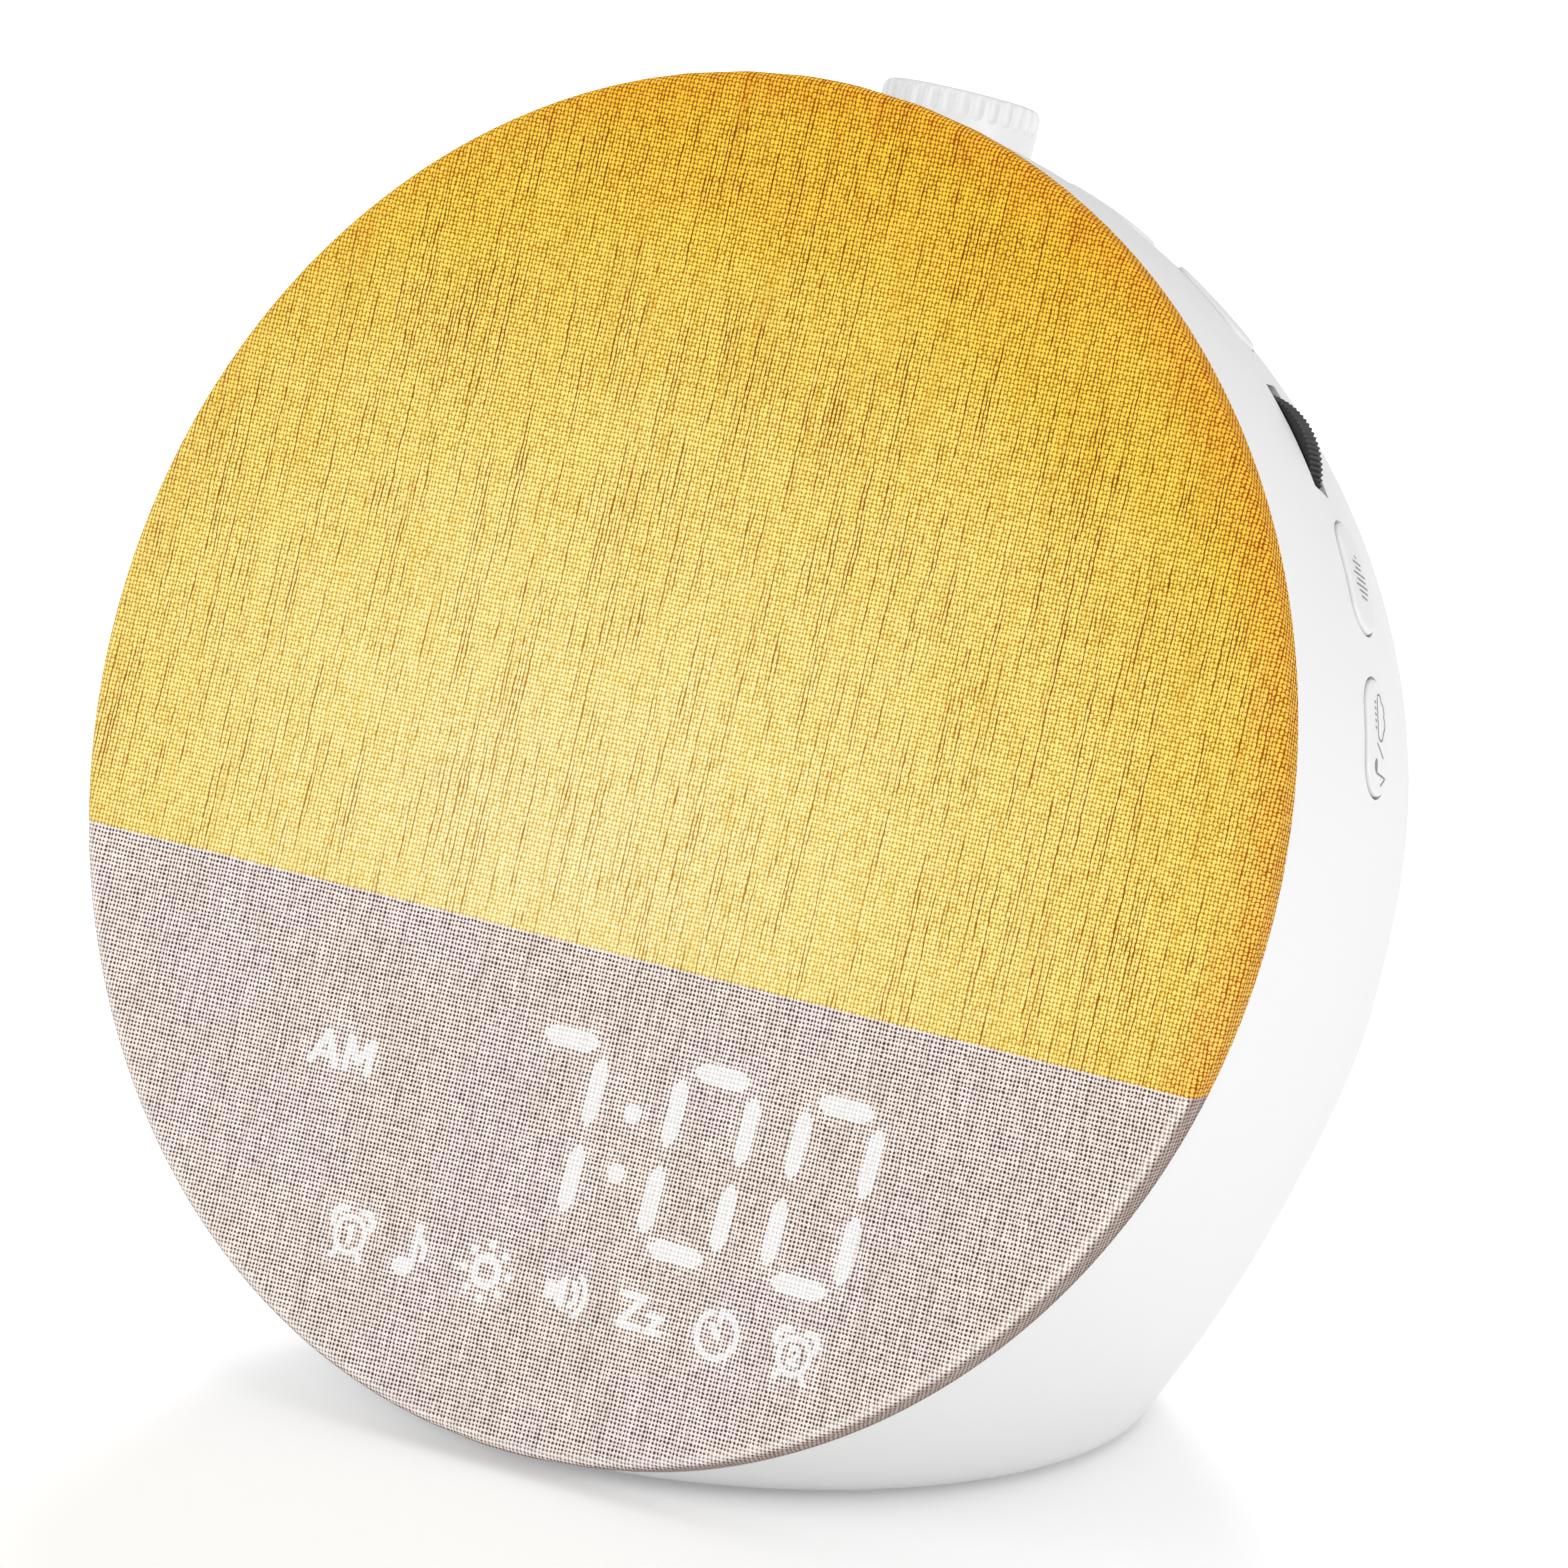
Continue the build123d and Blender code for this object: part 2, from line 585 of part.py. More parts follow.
def draw_lower(radius, inset):
    """The part of a disc below the bar, in the current sketch."""
    Circle(radius)
    with Locations((0, DIVIDER_Y - DIVIDER_THICKNESS / 2 - inset)):
        Rectangle(2 * radius, 2 * radius, align=(Align.CENTER, Align.MAX), mode=Mode.INTERSECT)


CHASSIS_INNER = CHASSIS_RADIUS - CHASSIS_WALL
CHASSIS_FRONT = CHASSIS_FLOOR - CHASSIS_FLOOR_THICKNESS
LIGHT_FACE = CHASSIS_FRONT - BOARD
LIGHT_LEDS = [(x, y) for x, y in ring_spots(LIGHT_LED_RINGS) if y > DIVIDER_Y + 5]
LIGHT_SCREW_SPOTS = dial_spots(LIGHT_SCREW_CIRCLE, LIGHT_SCREW_ANGLES)

with BuildPart() as light_diffuser:
    with BuildSketch(layer(FABRIC)):
        draw_upper(OPENING_RADIUS - 0.1, 0.1)
    extrude(amount=-REBATE)
save(light_diffuser, "light_diffuser")

with BuildPart() as reflector:
    with BuildSketch(layer(LIGHT_FACE)):
        draw_upper(CHASSIS_INNER - SLIP, SLIP)
    extrude(amount=LIGHT_FACE - REFLECTOR_FRONT)
    with BuildSketch(layer(LIGHT_FACE - REFLECTOR)):
        draw_upper(CHASSIS_INNER - SLIP - REFLECTOR, SLIP + REFLECTOR)
    extrude(amount=LIGHT_FACE, mode=Mode.SUBTRACT)
    with BuildSketch(layer(LIGHT_FACE)):
        with Locations(*LIGHT_LEDS):
            Rectangle(LIGHT_LED_SIZE + 2 * SLIP, LIGHT_LED_SIZE + 2 * SLIP)
        with Locations(*LIGHT_SCREW_SPOTS):
            Circle(SMALL_SCREW[1] + SLIP)
    extrude(amount=REFLECTOR, mode=Mode.SUBTRACT)
save(reflector, "reflector")

with BuildPart() as light_board:
    with BuildSketch(layer(LIGHT_FACE)):
        draw_upper(CHASSIS_INNER - SLIP, SLIP)
    extrude(amount=-BOARD)
    cut_holes(layer(LIGHT_FACE), LIGHT_SCREW_SPOTS, SMALL_SCREW[0] + FIT, BOARD)
save(light_board, "light_board")

with BuildPart() as light_leds:
    add_boxes(layer(LIGHT_FACE), LIGHT_LEDS, (LIGHT_LED_SIZE, LIGHT_LED_SIZE, LIGHT_LED_HEIGHT))
save(light_leds, "light_leds")


# ---------------------------------------------------------------- display below the bar
WINDOW_BACK = FABRIC + WINDOW
MASK_BACK = WINDOW_BACK + MASK
GUIDE_BACK = MASK_BACK + GUIDE_LENGTH
DISPLAY_FACE = GUIDE_BACK + DISPLAY_LED_HEIGHT


def segment_spots():
    """Centres of the digits' segments: upright ones, then level ones."""
    quarter, half = DIGIT_HEIGHT / 4, DIGIT_HEIGHT / 2
    columns = [x + side * DIGIT_WIDTH / 2 for x in DIGIT_CENTRES for side in (-1, 1)] + [TENS_SEGMENT_X]
    upright = [(x, DIGIT_MIDDLE + side * quarter) for x in columns for side in (-1, 1)]
    level = [(x, DIGIT_MIDDLE + row * half) for x in DIGIT_CENTRES for row in (-1, 0, 1)]
    return upright, level


UPRIGHT_SPOTS, LEVEL_SPOTS = segment_spots()
COLON_SPOTS = [(COLON_X, DIGIT_MIDDLE + side * COLON_HALF_SPREAD) for side in (-1, 1)]
ICON_SPOTS = [(x, ICON_Y) for x in ICON_XS]


def draw_signs(gap):
    """Outlines of every lit sign, drawn smaller by a gap, in the current sketch."""
    with Locations(*UPRIGHT_SPOTS):
        SlotOverall(SEGMENT_LENGTH - 2 * gap, SEGMENT_WIDTH - 2 * gap, rotation=90)
    with Locations(*LEVEL_SPOTS):
        SlotOverall(SEGMENT_ACROSS - 2 * gap, SEGMENT_WIDTH - 2 * gap)
    with Locations(*COLON_SPOTS):
        Circle(COLON_RADIUS - gap)
    with Locations(*ICON_SPOTS):
        Circle(ICON_RADIUS - gap)
    with Locations(MORNING_MARK):
        Rectangle(MORNING_MARK_SIZE[0] - 2 * gap, MORNING_MARK_SIZE[1] - 2 * gap)


def draw_module(inset):
    """Outline of the display module, in the current sketch."""
    Circle(MODULE_RADIUS - inset)
    with Locations((0, (MODULE_TOP + MODULE_BOTTOM) / 2)):
        Rectangle(2 * MODULE_RADIUS, MODULE_TOP - MODULE_BOTTOM - 2 * inset, mode=Mode.INTERSECT)


with BuildPart() as display_window:
    with BuildSketch(layer(FABRIC)):
        draw_lower(OPENING_RADIUS - 0.1, 0.1)
    extrude(amount=-WINDOW)
save(display_window, "display_window")

with BuildPart() as display_mask:
    with BuildSketch(layer(WINDOW_BACK)):
        draw_lower(OPENING_RADIUS - 0.1, 0.1)
    extrude(amount=-MASK)
    with BuildSketch(layer(WINDOW_BACK)):
        draw_signs(0)
    extrude(amount=-MASK, mode=Mode.SUBTRACT)
save(display_mask, "display_mask")

with BuildPart() as display_guides:
    with BuildSketch(layer(MASK_BACK)):
        draw_module(0)
    extrude(amount=-GUIDE_WEB)
    with BuildSketch(layer(MASK_BACK)):
        draw_signs(POCKET_GAP)
        Circle(MODULE_RADIUS - 1, mode=Mode.INTERSECT)
    extrude(amount=-GUIDE_LENGTH)
    cut_holes(layer(MASK_BACK), DISPLAY_SCREWS, SMALL_SCREW[0] + FIT, GUIDE_WEB)
save(display_guides, "display_guides")

with BuildPart() as display_housing:
    with BuildSketch(layer(MASK_BACK + GUIDE_WEB)):
        draw_module(0)
    extrude(amount=-(DISPLAY_FACE - MASK_BACK - GUIDE_WEB))
    with BuildSketch(layer(MASK_BACK + GUIDE_WEB)):
        draw_signs(0)
        Circle(MODULE_RADIUS - 1 + POCKET_GAP, mode=Mode.INTERSECT)
    extrude(amount=-GUIDE_LENGTH - 1, mode=Mode.SUBTRACT)
    cut_holes(layer(DISPLAY_FACE), DISPLAY_SCREWS, SMALL_SCREW[0], -(SMALL_SCREW[3] - BOARD))
save(display_housing, "display_housing")

with BuildPart() as display_board:
    with BuildSketch(layer(DISPLAY_FACE)):
        draw_module(0.3)
    extrude(amount=-BOARD)
    cut_holes(layer(DISPLAY_FACE), DISPLAY_SCREWS, SMALL_SCREW[0] + FIT, BOARD)
save(display_board, "display_board")

with BuildPart() as display_leds:
    spots = UPRIGHT_SPOTS + LEVEL_SPOTS + COLON_SPOTS + ICON_SPOTS[:-1] + [MORNING_MARK]
    add_boxes(layer(DISPLAY_FACE), spots, (DISPLAY_LED * 0.8, DISPLAY_LED * 0.8, DISPLAY_LED_HEIGHT))
    last = [(ICON_SPOTS[-1][0] - 1, ICON_Y + 1)]
    add_boxes(layer(DISPLAY_FACE), last, (DISPLAY_LED * 0.8, DISPLAY_LED * 0.8, DISPLAY_LED_HEIGHT))
save(display_leds, "display_leds")


# ---------------------------------------------------------------- chassis behind the face
def facing_back(depth):
    """The plane behind the face that looks backwards; its x runs the other way."""
    return Plane(origin=layer(depth).origin, x_dir=(-1, 0, 0), z_dir=-FACE.z_dir)


def flipped(spots):
    return [(-x, y) for x, y in spots]


SHELF_TOP = ENCODER_BOARD_BOTTOM
SHELF_BOTTOM = SHELF_TOP - SHELF_THICKNESS
ENCODER_SCREWS = ((-8, -5), (8, 5))
CONTROL_POST_SPOTS = dial_spots(CONTROL_POST_CIRCLE, CONTROL_POST_ANGLES)
SHELF_PLANE = KNOB_PLANE.offset(SHELF_BOTTOM)

with BuildPart() as chassis:
    with BuildSketch(layer(SKIRT_END)):
        Circle(SKIRT_OUTER)
        Circle(CHASSIS_INNER, mode=Mode.SUBTRACT)
    extrude(amount=-CHASSIS_FLANGE_THICKNESS)
    with BuildSketch(layer(SKIRT_END)):
        Circle(CHASSIS_RADIUS)
        Circle(CHASSIS_INNER, mode=Mode.SUBTRACT)
        with Locations((0, DIVIDER_Y)):
            Rectangle(2 * CHASSIS_INNER * 0.96, DIVIDER_THICKNESS)
    extrude(amount=-(CHASSIS_FLOOR - SKIRT_END))
    with BuildSketch(layer(CHASSIS_FRONT)):
        Circle(CHASSIS_RADIUS)
    extrude(amount=-CHASSIS_FLOOR_THICKNESS)
    add_posts(layer(CHASSIS_FRONT), PILLARS, 2.5, CHASSIS_FRONT - DISPLAY_FACE - BOARD, POST_ROOT)
    # bosses, posts and the encoder's shelf behind the floor
    add_posts(facing_back(CHASSIS_FLOOR), flipped(LIGHT_SCREW_SPOTS), 2.6, 3.5, POST_ROOT)
    add_posts(
        facing_back(CHASSIS_FLOOR), flipped(CONTROL_POST_SPOTS), CONTROL_POST_RADIUS,
        CONTROL_BOARD_DEPTH - CHASSIS_FLOOR, POST_ROOT,
    )
    with BuildSketch(SHELF_PLANE):
        with Locations((0, CHASSIS_FLOOR - KNOB_DEPTH - 0.5)):
            Rectangle(SHELF_WIDTH, SHELF_REACH + 0.5, align=(Align.CENTER, Align.MIN))
    extrude(amount=SHELF_THICKNESS)
    add_posts(SHELF_PLANE.offset(-3.2), ENCODER_SCREWS, 2.4, 3.2 + POST_ROOT)
    cut_holes(KNOB_PLANE.offset(SHELF_TOP), ENCODER_SCREWS, SMALL_SCREW[0], SMALL_SCREW[3] - BOARD)
    cut_holes(layer(CHASSIS_FRONT), LIGHT_SCREW_SPOTS, SMALL_SCREW[0], SMALL_SCREW[3] - BOARD)
    cut_holes(facing_back(CONTROL_BOARD_DEPTH), flipped(CONTROL_POST_SPOTS), SMALL_SCREW[0], SMALL_SCREW[3])
    cut_holes(layer(SKIRT_END), FRAME_SCREW_SPOTS, SMALL_SCREW[0] + FIT, CHASSIS_FLANGE_THICKNESS)
    # flat along the body's floor
    with BuildSketch(Plane.XY.offset(FLOOR_TOP + 2 * SLIP)):
        Rectangle(4 * FACE_RADIUS, 4 * FACE_RADIUS)
    extrude(amount=-FACE_RADIUS, mode=Mode.SUBTRACT)
save(chassis, "chassis")

# ---------------------------------------------------------------- buttons and their switches
BUTTON_GUARD = 1 - (WALL + 0.35) / BALL_RADIUS
guard_form = body_form(BUTTON_GUARD)


def button_plane(name, inset):
    """The outward plane at a button, a distance inside the body's surface."""
    return outward_plane(BUTTON_ANGLES[name], BUTTON_RADIUS_AT[name] - inset, CONTROL_DEPTH)


STEM_END = BUTTON_CAP_DEPTH + STEM_LENGTH
SWITCH_FRONT = STEM_END + SWITCH_STANDOFF

for name in BUTTON_ANGLES:
    with BuildPart() as button:
        with BuildSketch(button_plane(name, BUTTON_PLATE_DEPTH)):
            SlotOverall(BUTTON_LENGTH, BUTTON_WIDTH)
        extrude(amount=2 * BUTTON_CAP_DEPTH)
        add(proud_form, mode=Mode.INTERSECT)
        crown = button.faces().sort_by_distance(button_plane(name, -BUTTON_PROUD).origin)[0]
        fillet(crown.edges(), BUTTON_EDGE)
        with BuildPart(mode=Mode.PRIVATE) as ledge:
            with BuildSketch(button_plane(name, BUTTON_CAP_DEPTH)):
                Rectangle(BUTTON_BLOCK_LENGTH, BUTTON_WIDTH + 2 * BUTTON_LEDGE_OVERHANG)
            extrude(amount=BUTTON_CAP_DEPTH)
            add(guard_form, mode=Mode.INTERSECT)
        add(ledge.part)
        with BuildSketch(button_plane(name, BUTTON_CAP_DEPTH)):
            Circle(BUTTON_STEM_RADIUS)
        extrude(amount=-STEM_LENGTH)
    save(button, f"{name}_button")

    with BuildPart() as plunger:
        with BuildSketch(button_plane(name, STEM_END)):
            Circle(SWITCH_PLUNGER_RADIUS)
        extrude(amount=-SWITCH_PLUNGER_LENGTH)
    save(plunger, f"{name}_switch_plunger")

with BuildPart() as switch_bodies:
    for name in BUTTON_ANGLES:
        with BuildSketch(button_plane(name, SWITCH_FRONT)):
            with Locations((0, -SWITCH_SIZE / 2)):
                rise = CONTROL_BOARD_DEPTH - CONTROL_DEPTH + SWITCH_SIZE / 2
                Rectangle(SWITCH_SIZE, rise, align=(Align.CENTER, Align.MIN))
        extrude(amount=-SWITCH_THICKNESS)
        cut_holes(button_plane(name, SWITCH_FRONT), [(0, 0)], SWITCH_PLUNGER_RADIUS + FIT, SWITCH_BORE_DEPTH)
save(switch_bodies, "switch_bodies")

with BuildPart() as control_board:
    with BuildSketch(layer(CONTROL_BOARD_DEPTH)):
        first, last = CONTROL_BOARD_SPAN
        with BuildLine():
            outer = CenterArc((0, 0), CONTROL_BOARD_OUTER, 90 - last, last - first)
            inner = CenterArc((0, 0), CONTROL_BOARD_INNER, 90 - last, last - first)
            Line(outer @ 0, inner @ 0)
            Line(outer @ 1, inner @ 1)
        make_face()
    extrude(amount=-BOARD)
    cut_holes(layer(CONTROL_BOARD_DEPTH), CONTROL_POST_SPOTS, SMALL_SCREW[0] + FIT, BOARD)
save(control_board, "control_board")

# ---------------------------------------------------------------- volume wheel
WHEEL_SPOT = on_dial(WHEEL_CENTRE_RADIUS, WHEEL_ANGLE)
WHEEL_BACK = WHEEL_DEPTH + WHEEL_THICKNESS
POT_FRONT = WHEEL_BACK + POT_GAP


def draw_keyed(radius):
    """A round with a flat on one side, in the current sketch."""
    Circle(radius)
    with Locations((0, -radius)):
        Rectangle(2 * radius, 1.6 * radius, align=(Align.CENTER, Align.MIN), mode=Mode.INTERSECT)


with BuildPart() as volume_wheel:
    with BuildSketch(layer(WHEEL_DEPTH)):
        with BuildLine():
            rim = []
            for i in range(2 * WHEEL_TEETH):
                x, y = on_dial(WHEEL_RADIUS - (i % 2) * WHEEL_TOOTH_DEPTH, 180 * i / WHEEL_TEETH)
                rim.append((WHEEL_SPOT[0] + x, WHEEL_SPOT[1] + y))
            Polyline(*rim, close=True)
        make_face()
    extrude(amount=-WHEEL_THICKNESS)
    cut_holes(layer(WHEEL_DEPTH), [WHEEL_SPOT], WHEEL_POCKET_RADIUS, WHEEL_POCKET_DEPTH)
    with BuildSketch(layer(WHEEL_DEPTH)):
        with Locations(WHEEL_SPOT):
            Circle(WHEEL_SHAFT_RADIUS)
    extrude(amount=-WHEEL_THICKNESS, mode=Mode.SUBTRACT)
save(volume_wheel, "volume_wheel")

with BuildPart() as wheel_spindle:
    add_posts(
        facing_back(WHEEL_DEPTH + WHEEL_POCKET_DEPTH), flipped([WHEEL_SPOT]), WHEEL_SHAFT_RADIUS,
        CONTROL_BOARD_DEPTH - 0.6 - WHEEL_DEPTH - WHEEL_POCKET_DEPTH,
    )
    cut_holes(layer(WHEEL_DEPTH + WHEEL_POCKET_DEPTH), [WHEEL_SPOT], SMALL_SCREW[0], SMALL_SCREW[3])
save(wheel_spindle, "wheel_spindle")

with BuildPart() as wheel_screw:
    add_screws(layer(WHEEL_DEPTH + WHEEL_POCKET_DEPTH), [WHEEL_SPOT], SMALL_SCREW)
save(wheel_screw, "wheel_screw")

with BuildPart() as volume_pot:
    add_posts(layer(CONTROL_BOARD_DEPTH), [WHEEL_SPOT], POT_RADIUS, CONTROL_BOARD_DEPTH - POT_FRONT)
    cut_holes(
        layer(POT_FRONT), [WHEEL_SPOT], WHEEL_SHAFT_RADIUS + FIT, CONTROL_BOARD_DEPTH - POT_FRONT - 0.4
    )
save(volume_pot, "volume_pot")

# ---------------------------------------------------------------- dimmer knob and encoder
ENCODER_BODY_BOTTOM = ENCODER_BOARD_BOTTOM + BOARD
ENCODER_BODY_TOP = ENCODER_BODY_BOTTOM + ENCODER_BODY[2]

with BuildPart() as knob_cap:
    add_posts(KNOB_PLANE.offset(KNOB_BOTTOM), [(0, 0)], KNOB_RADIUS, KNOB_TOP - KNOB_BOTTOM)
    fillet(knob_cap.faces().sort_by(Axis(KNOB_PLANE.origin, KNOB_PLANE.z_dir))[-1].edges(), KNOB_EDGE_RADIUS)
    flute_circle = KNOB_RADIUS + KNOB_FLUTE_RADIUS - KNOB_FLUTE_DEPTH
    flute_end = KNOB_TOP - KNOB_BAND + KNOB_FLUTE_RADIUS
    with BuildSketch(KNOB_PLANE.offset(flute_end)):
        with PolarLocations(flute_circle, KNOB_FLUTES):
            Circle(KNOB_FLUTE_RADIUS)
    extrude(amount=KNOB_BAND, mode=Mode.SUBTRACT)
    with Locations(KNOB_PLANE.offset(flute_end)):
        with PolarLocations(flute_circle, KNOB_FLUTES):
            Sphere(KNOB_FLUTE_RADIUS, mode=Mode.SUBTRACT)
    with BuildSketch(KNOB_PLANE.offset(KNOB_BOTTOM)):
        Circle(KNOB_RADIUS - KNOB_WALL)
        Circle(KNOB_HUB_RADIUS, mode=Mode.SUBTRACT)
    extrude(amount=KNOB_TOP - KNOB_ROOF - KNOB_BOTTOM, mode=Mode.SUBTRACT)
    with BuildSketch(KNOB_PLANE.offset(KNOB_BOTTOM)):
        draw_keyed(ENCODER_SHAFT_RADIUS)
    extrude(amount=ENCODER_SHAFT_TOP - KNOB_BOTTOM, mode=Mode.SUBTRACT)
save(knob_cap, "knob_cap")

with BuildPart() as encoder_shaft:
    add_posts(
        KNOB_PLANE.offset(ENCODER_SHAFT_BOTTOM), [(0, 0)], ENCODER_SHAFT_RADIUS, KNOB_BOTTOM - ENCODER_SHAFT_BOTTOM
    )
    with BuildSketch(KNOB_PLANE.offset(KNOB_BOTTOM)):
        draw_keyed(ENCODER_SHAFT_RADIUS)
    extrude(amount=ENCODER_SHAFT_TOP - KNOB_BOTTOM)
save(encoder_shaft, "encoder_shaft")

with BuildPart() as encoder_pin:
    add_posts(
        KNOB_PLANE.offset(ENCODER_SHAFT_BOTTOM - ENCODER_PIN_LENGTH), [(0, 0)], ENCODER_PIN_RADIUS,
        ENCODER_PIN_LENGTH,
    )
save(encoder_pin, "encoder_pin")

with BuildPart() as encoder_body:
    add_boxes(KNOB_PLANE.offset(ENCODER_BODY_BOTTOM), [(0, 0)], ENCODER_BODY)
    add_posts(KNOB_PLANE.offset(ENCODER_BODY_TOP), [(0, 0)], ENCODER_BUSH_RADIUS, ENCODER_BUSH_LENGTH)
    bush_top = KNOB_PLANE.offset(ENCODER_BODY_TOP + ENCODER_BUSH_LENGTH)
    cut_holes(bush_top, [(0, 0)], ENCODER_SHAFT_RADIUS + FIT, ENCODER_BUSH_LENGTH)
    pin_room = ENCODER_BODY_TOP - (ENCODER_SHAFT_BOTTOM - ENCODER_PIN_LENGTH) + KNOB_TRAVEL + SLIP
    cut_holes(KNOB_PLANE.offset(ENCODER_BODY_TOP), [(0, 0)], ENCODER_PIN_RADIUS + FIT, pin_room)
save(encoder_body, "encoder_body")

with BuildPart() as encoder_board:
    add_boxes(KNOB_PLANE.offset(ENCODER_BOARD_BOTTOM), [(0, 0)], (*ENCODER_BOARD, BOARD))
    cut_holes(KNOB_PLANE.offset(ENCODER_BODY_BOTTOM), ENCODER_SCREWS, SMALL_SCREW[0] + FIT, BOARD)
save(encoder_board, "encoder_board")

# ---------------------------------------------------------------- speaker
BASKET_FRONT = -GASKET - BASKET_FLANGE
BASKET_END = -GASKET - BASKET_DEPTH
MAGNET_END = BASKET_END - MAGNET_THICKNESS
CONE_BASE = BASKET_FRONT - CONE_DEPTH

with BuildPart() as speaker_gasket:
    with BuildSketch(SPEAKER_PLANE):
        Circle(SPEAKER_RADIUS)
        Circle(SPEAKER_RADIUS - SPEAKER_RING_WALL, mode=Mode.SUBTRACT)
    extrude(amount=-GASKET)
    cut_holes(SPEAKER_PLANE, SPEAKER_SCREW_SPOTS, SMALL_SCREW[0] + FIT, GASKET)
save(speaker_gasket, "speaker_gasket")

with BuildPart() as speaker_basket:
    spin(
        SPEAKER_PLANE,
        [
            (BASKET_OPENING, -GASKET),
            (SPEAKER_RADIUS, -GASKET),
            (SPEAKER_RADIUS, BASKET_FRONT),
            (BASKET_OPENING + BASKET_WALL, BASKET_FRONT),
            (BASKET_REAR_RADIUS, BASKET_END),
            (MAGNET_BORE, BASKET_END),
            (MAGNET_BORE, BASKET_END + BASKET_WALL),
            (BASKET_REAR_RADIUS - BASKET_WALL, BASKET_END + BASKET_WALL),
            (BASKET_OPENING, BASKET_FRONT),
        ],
    )
    with BuildSketch(SPEAKER_PLANE.offset(BASKET_END + 2 * BASKET_WALL)):
        with PolarLocations(BASKET_REAR_RADIUS + 3, 4, start_angle=45):
            SlotOverall(12, 8, rotation=90)
    extrude(amount=BASKET_DEPTH - 3.5 * BASKET_WALL - BASKET_FLANGE, mode=Mode.SUBTRACT)
    cut_holes(SPEAKER_PLANE, SPEAKER_SCREW_SPOTS, SMALL_SCREW[0] + FIT, GASKET + BASKET_FLANGE)
save(speaker_basket, "speaker_basket")

with BuildPart() as speaker_magnet:
    spin(
        SPEAKER_PLANE,
        [
            (0, BASKET_END + BASKET_WALL),
            (POLE_RADIUS, BASKET_END + BASKET_WALL),
            (POLE_RADIUS, MAGNET_END + 2),
            (MAGNET_BORE, MAGNET_END + 2),
            (MAGNET_BORE, BASKET_END),
            (MAGNET_RADIUS, BASKET_END),
            (MAGNET_RADIUS, MAGNET_END),
            (0, MAGNET_END),
        ],
    )
save(speaker_magnet, "speaker_magnet")

with BuildPart() as speaker_cone:
    spin(
        SPEAKER_PLANE,
        [
            (CONE_RADIUS, BASKET_FRONT - 0.3),
            (CONE_RADIUS, BASKET_FRONT - 0.3 - CONE_THICKNESS),
            (CONE_NECK_RADIUS, CONE_BASE - CONE_THICKNESS),
            (CONE_NECK_RADIUS, BASKET_END - COIL_LENGTH),
            (CONE_NECK_RADIUS - 0.7, BASKET_END - COIL_LENGTH),
            (CONE_NECK_RADIUS - 0.7, CONE_BASE - CONE_THICKNESS),
            (0, CONE_BASE - CONE_THICKNESS + 1.2),
            (0, CONE_BASE + 1.2),
            (CONE_NECK_RADIUS, CONE_BASE),
        ],
    )
save(speaker_cone, "speaker_cone")

# ---------------------------------------------------------------- main board and power inlet
BOARD_TOP = Plane.XY.offset(MAIN_BOARD_Z + BOARD)
JACK_REAR = back_y(JACK_AXIS_Z) - WALL - JACK_SETBACK
JACK_PLANE = Plane(origin=(0, JACK_REAR, JACK_AXIS_Z), x_dir=(-1, 0, 0), z_dir=(0, 1, 0))
JACK_NOSE = WALL + JACK_SETBACK - JACK_RECESS

with BuildPart() as main_board:
    add_boxes(Plane.XY.offset(MAIN_BOARD_Z), [(0, MAIN_BOARD_Y)], (*MAIN_BOARD, BOARD))
    cut_holes(BOARD_TOP, MAIN_POSTS, SMALL_SCREW[0] + FIT, BOARD)
save(main_board, "main_board")

with BuildPart() as power_jack:
    with BuildSketch(BOARD_TOP):
        with Locations((0, JACK_REAR)):
            Rectangle(JACK_BODY[0], JACK_BODY[1], align=(Align.CENTER, Align.MAX))
    extrude(amount=JACK_BODY[2])
    add_posts(JACK_PLANE, [(0, 0)], INLET_RADIUS - SLIP, JACK_NOSE, POST_ROOT)
    cut_holes(JACK_PLANE.offset(JACK_NOSE), [(0, 0)], JACK_BORE_RADIUS, JACK_BORE_DEPTH)
save(power_jack, "power_jack")

with BuildPart() as jack_pin:
    jack_floor = JACK_PLANE.offset(JACK_NOSE - JACK_BORE_DEPTH)
    add_posts(jack_floor, [(0, 0)], JACK_PIN_RADIUS, JACK_BORE_DEPTH - 1)
save(jack_pin, "jack_pin")

with BuildPart() as main_chips:
    add_boxes(BOARD_TOP, [(10, -8)], (10, 10, 1.2))
    add_boxes(BOARD_TOP, [(12, 8)], (7, 7, 1.2))
save(main_chips, "main_chips")

with BuildPart() as capacitors:
    add_posts(BOARD_TOP, [(-10, 18), (1, 18)], 4, 10)
save(capacitors, "capacitors")

with BuildPart() as connectors:
    add_boxes(BOARD_TOP, [(-12, -21), (0, -21), (12, -21)], (9, 4, 5))
save(connectors, "connectors")

with BuildPart() as cell_holder:
    add_posts(BOARD_TOP, [(CELL_X, CELL_Y)], CELL_RADIUS + 1.2, CELL_THICKNESS + 0.6)
    cut_holes(BOARD_TOP.offset(CELL_THICKNESS + 0.6), [(CELL_X, CELL_Y)], CELL_RADIUS + 0.1, CELL_THICKNESS)
save(cell_holder, "cell_holder")

with BuildPart() as backup_cell:
    add_posts(BOARD_TOP.offset(0.6), [(CELL_X, CELL_Y)], CELL_RADIUS, CELL_THICKNESS)
save(backup_cell, "backup_cell")

# ---------------------------------------------------------------- base plate and feet
UNDERSIDE = Plane(origin=(0, 0, FLOOR_GAP), x_dir=(-1, 0, 0), z_dir=(0, 0, -1))
FOOT_SPOTS = [
    (FOOT_CIRCLE * cos(radians(a)), BASE_Y + FOOT_CIRCLE * sin(radians(a))) for a in (45, 135, 225, 315)
]

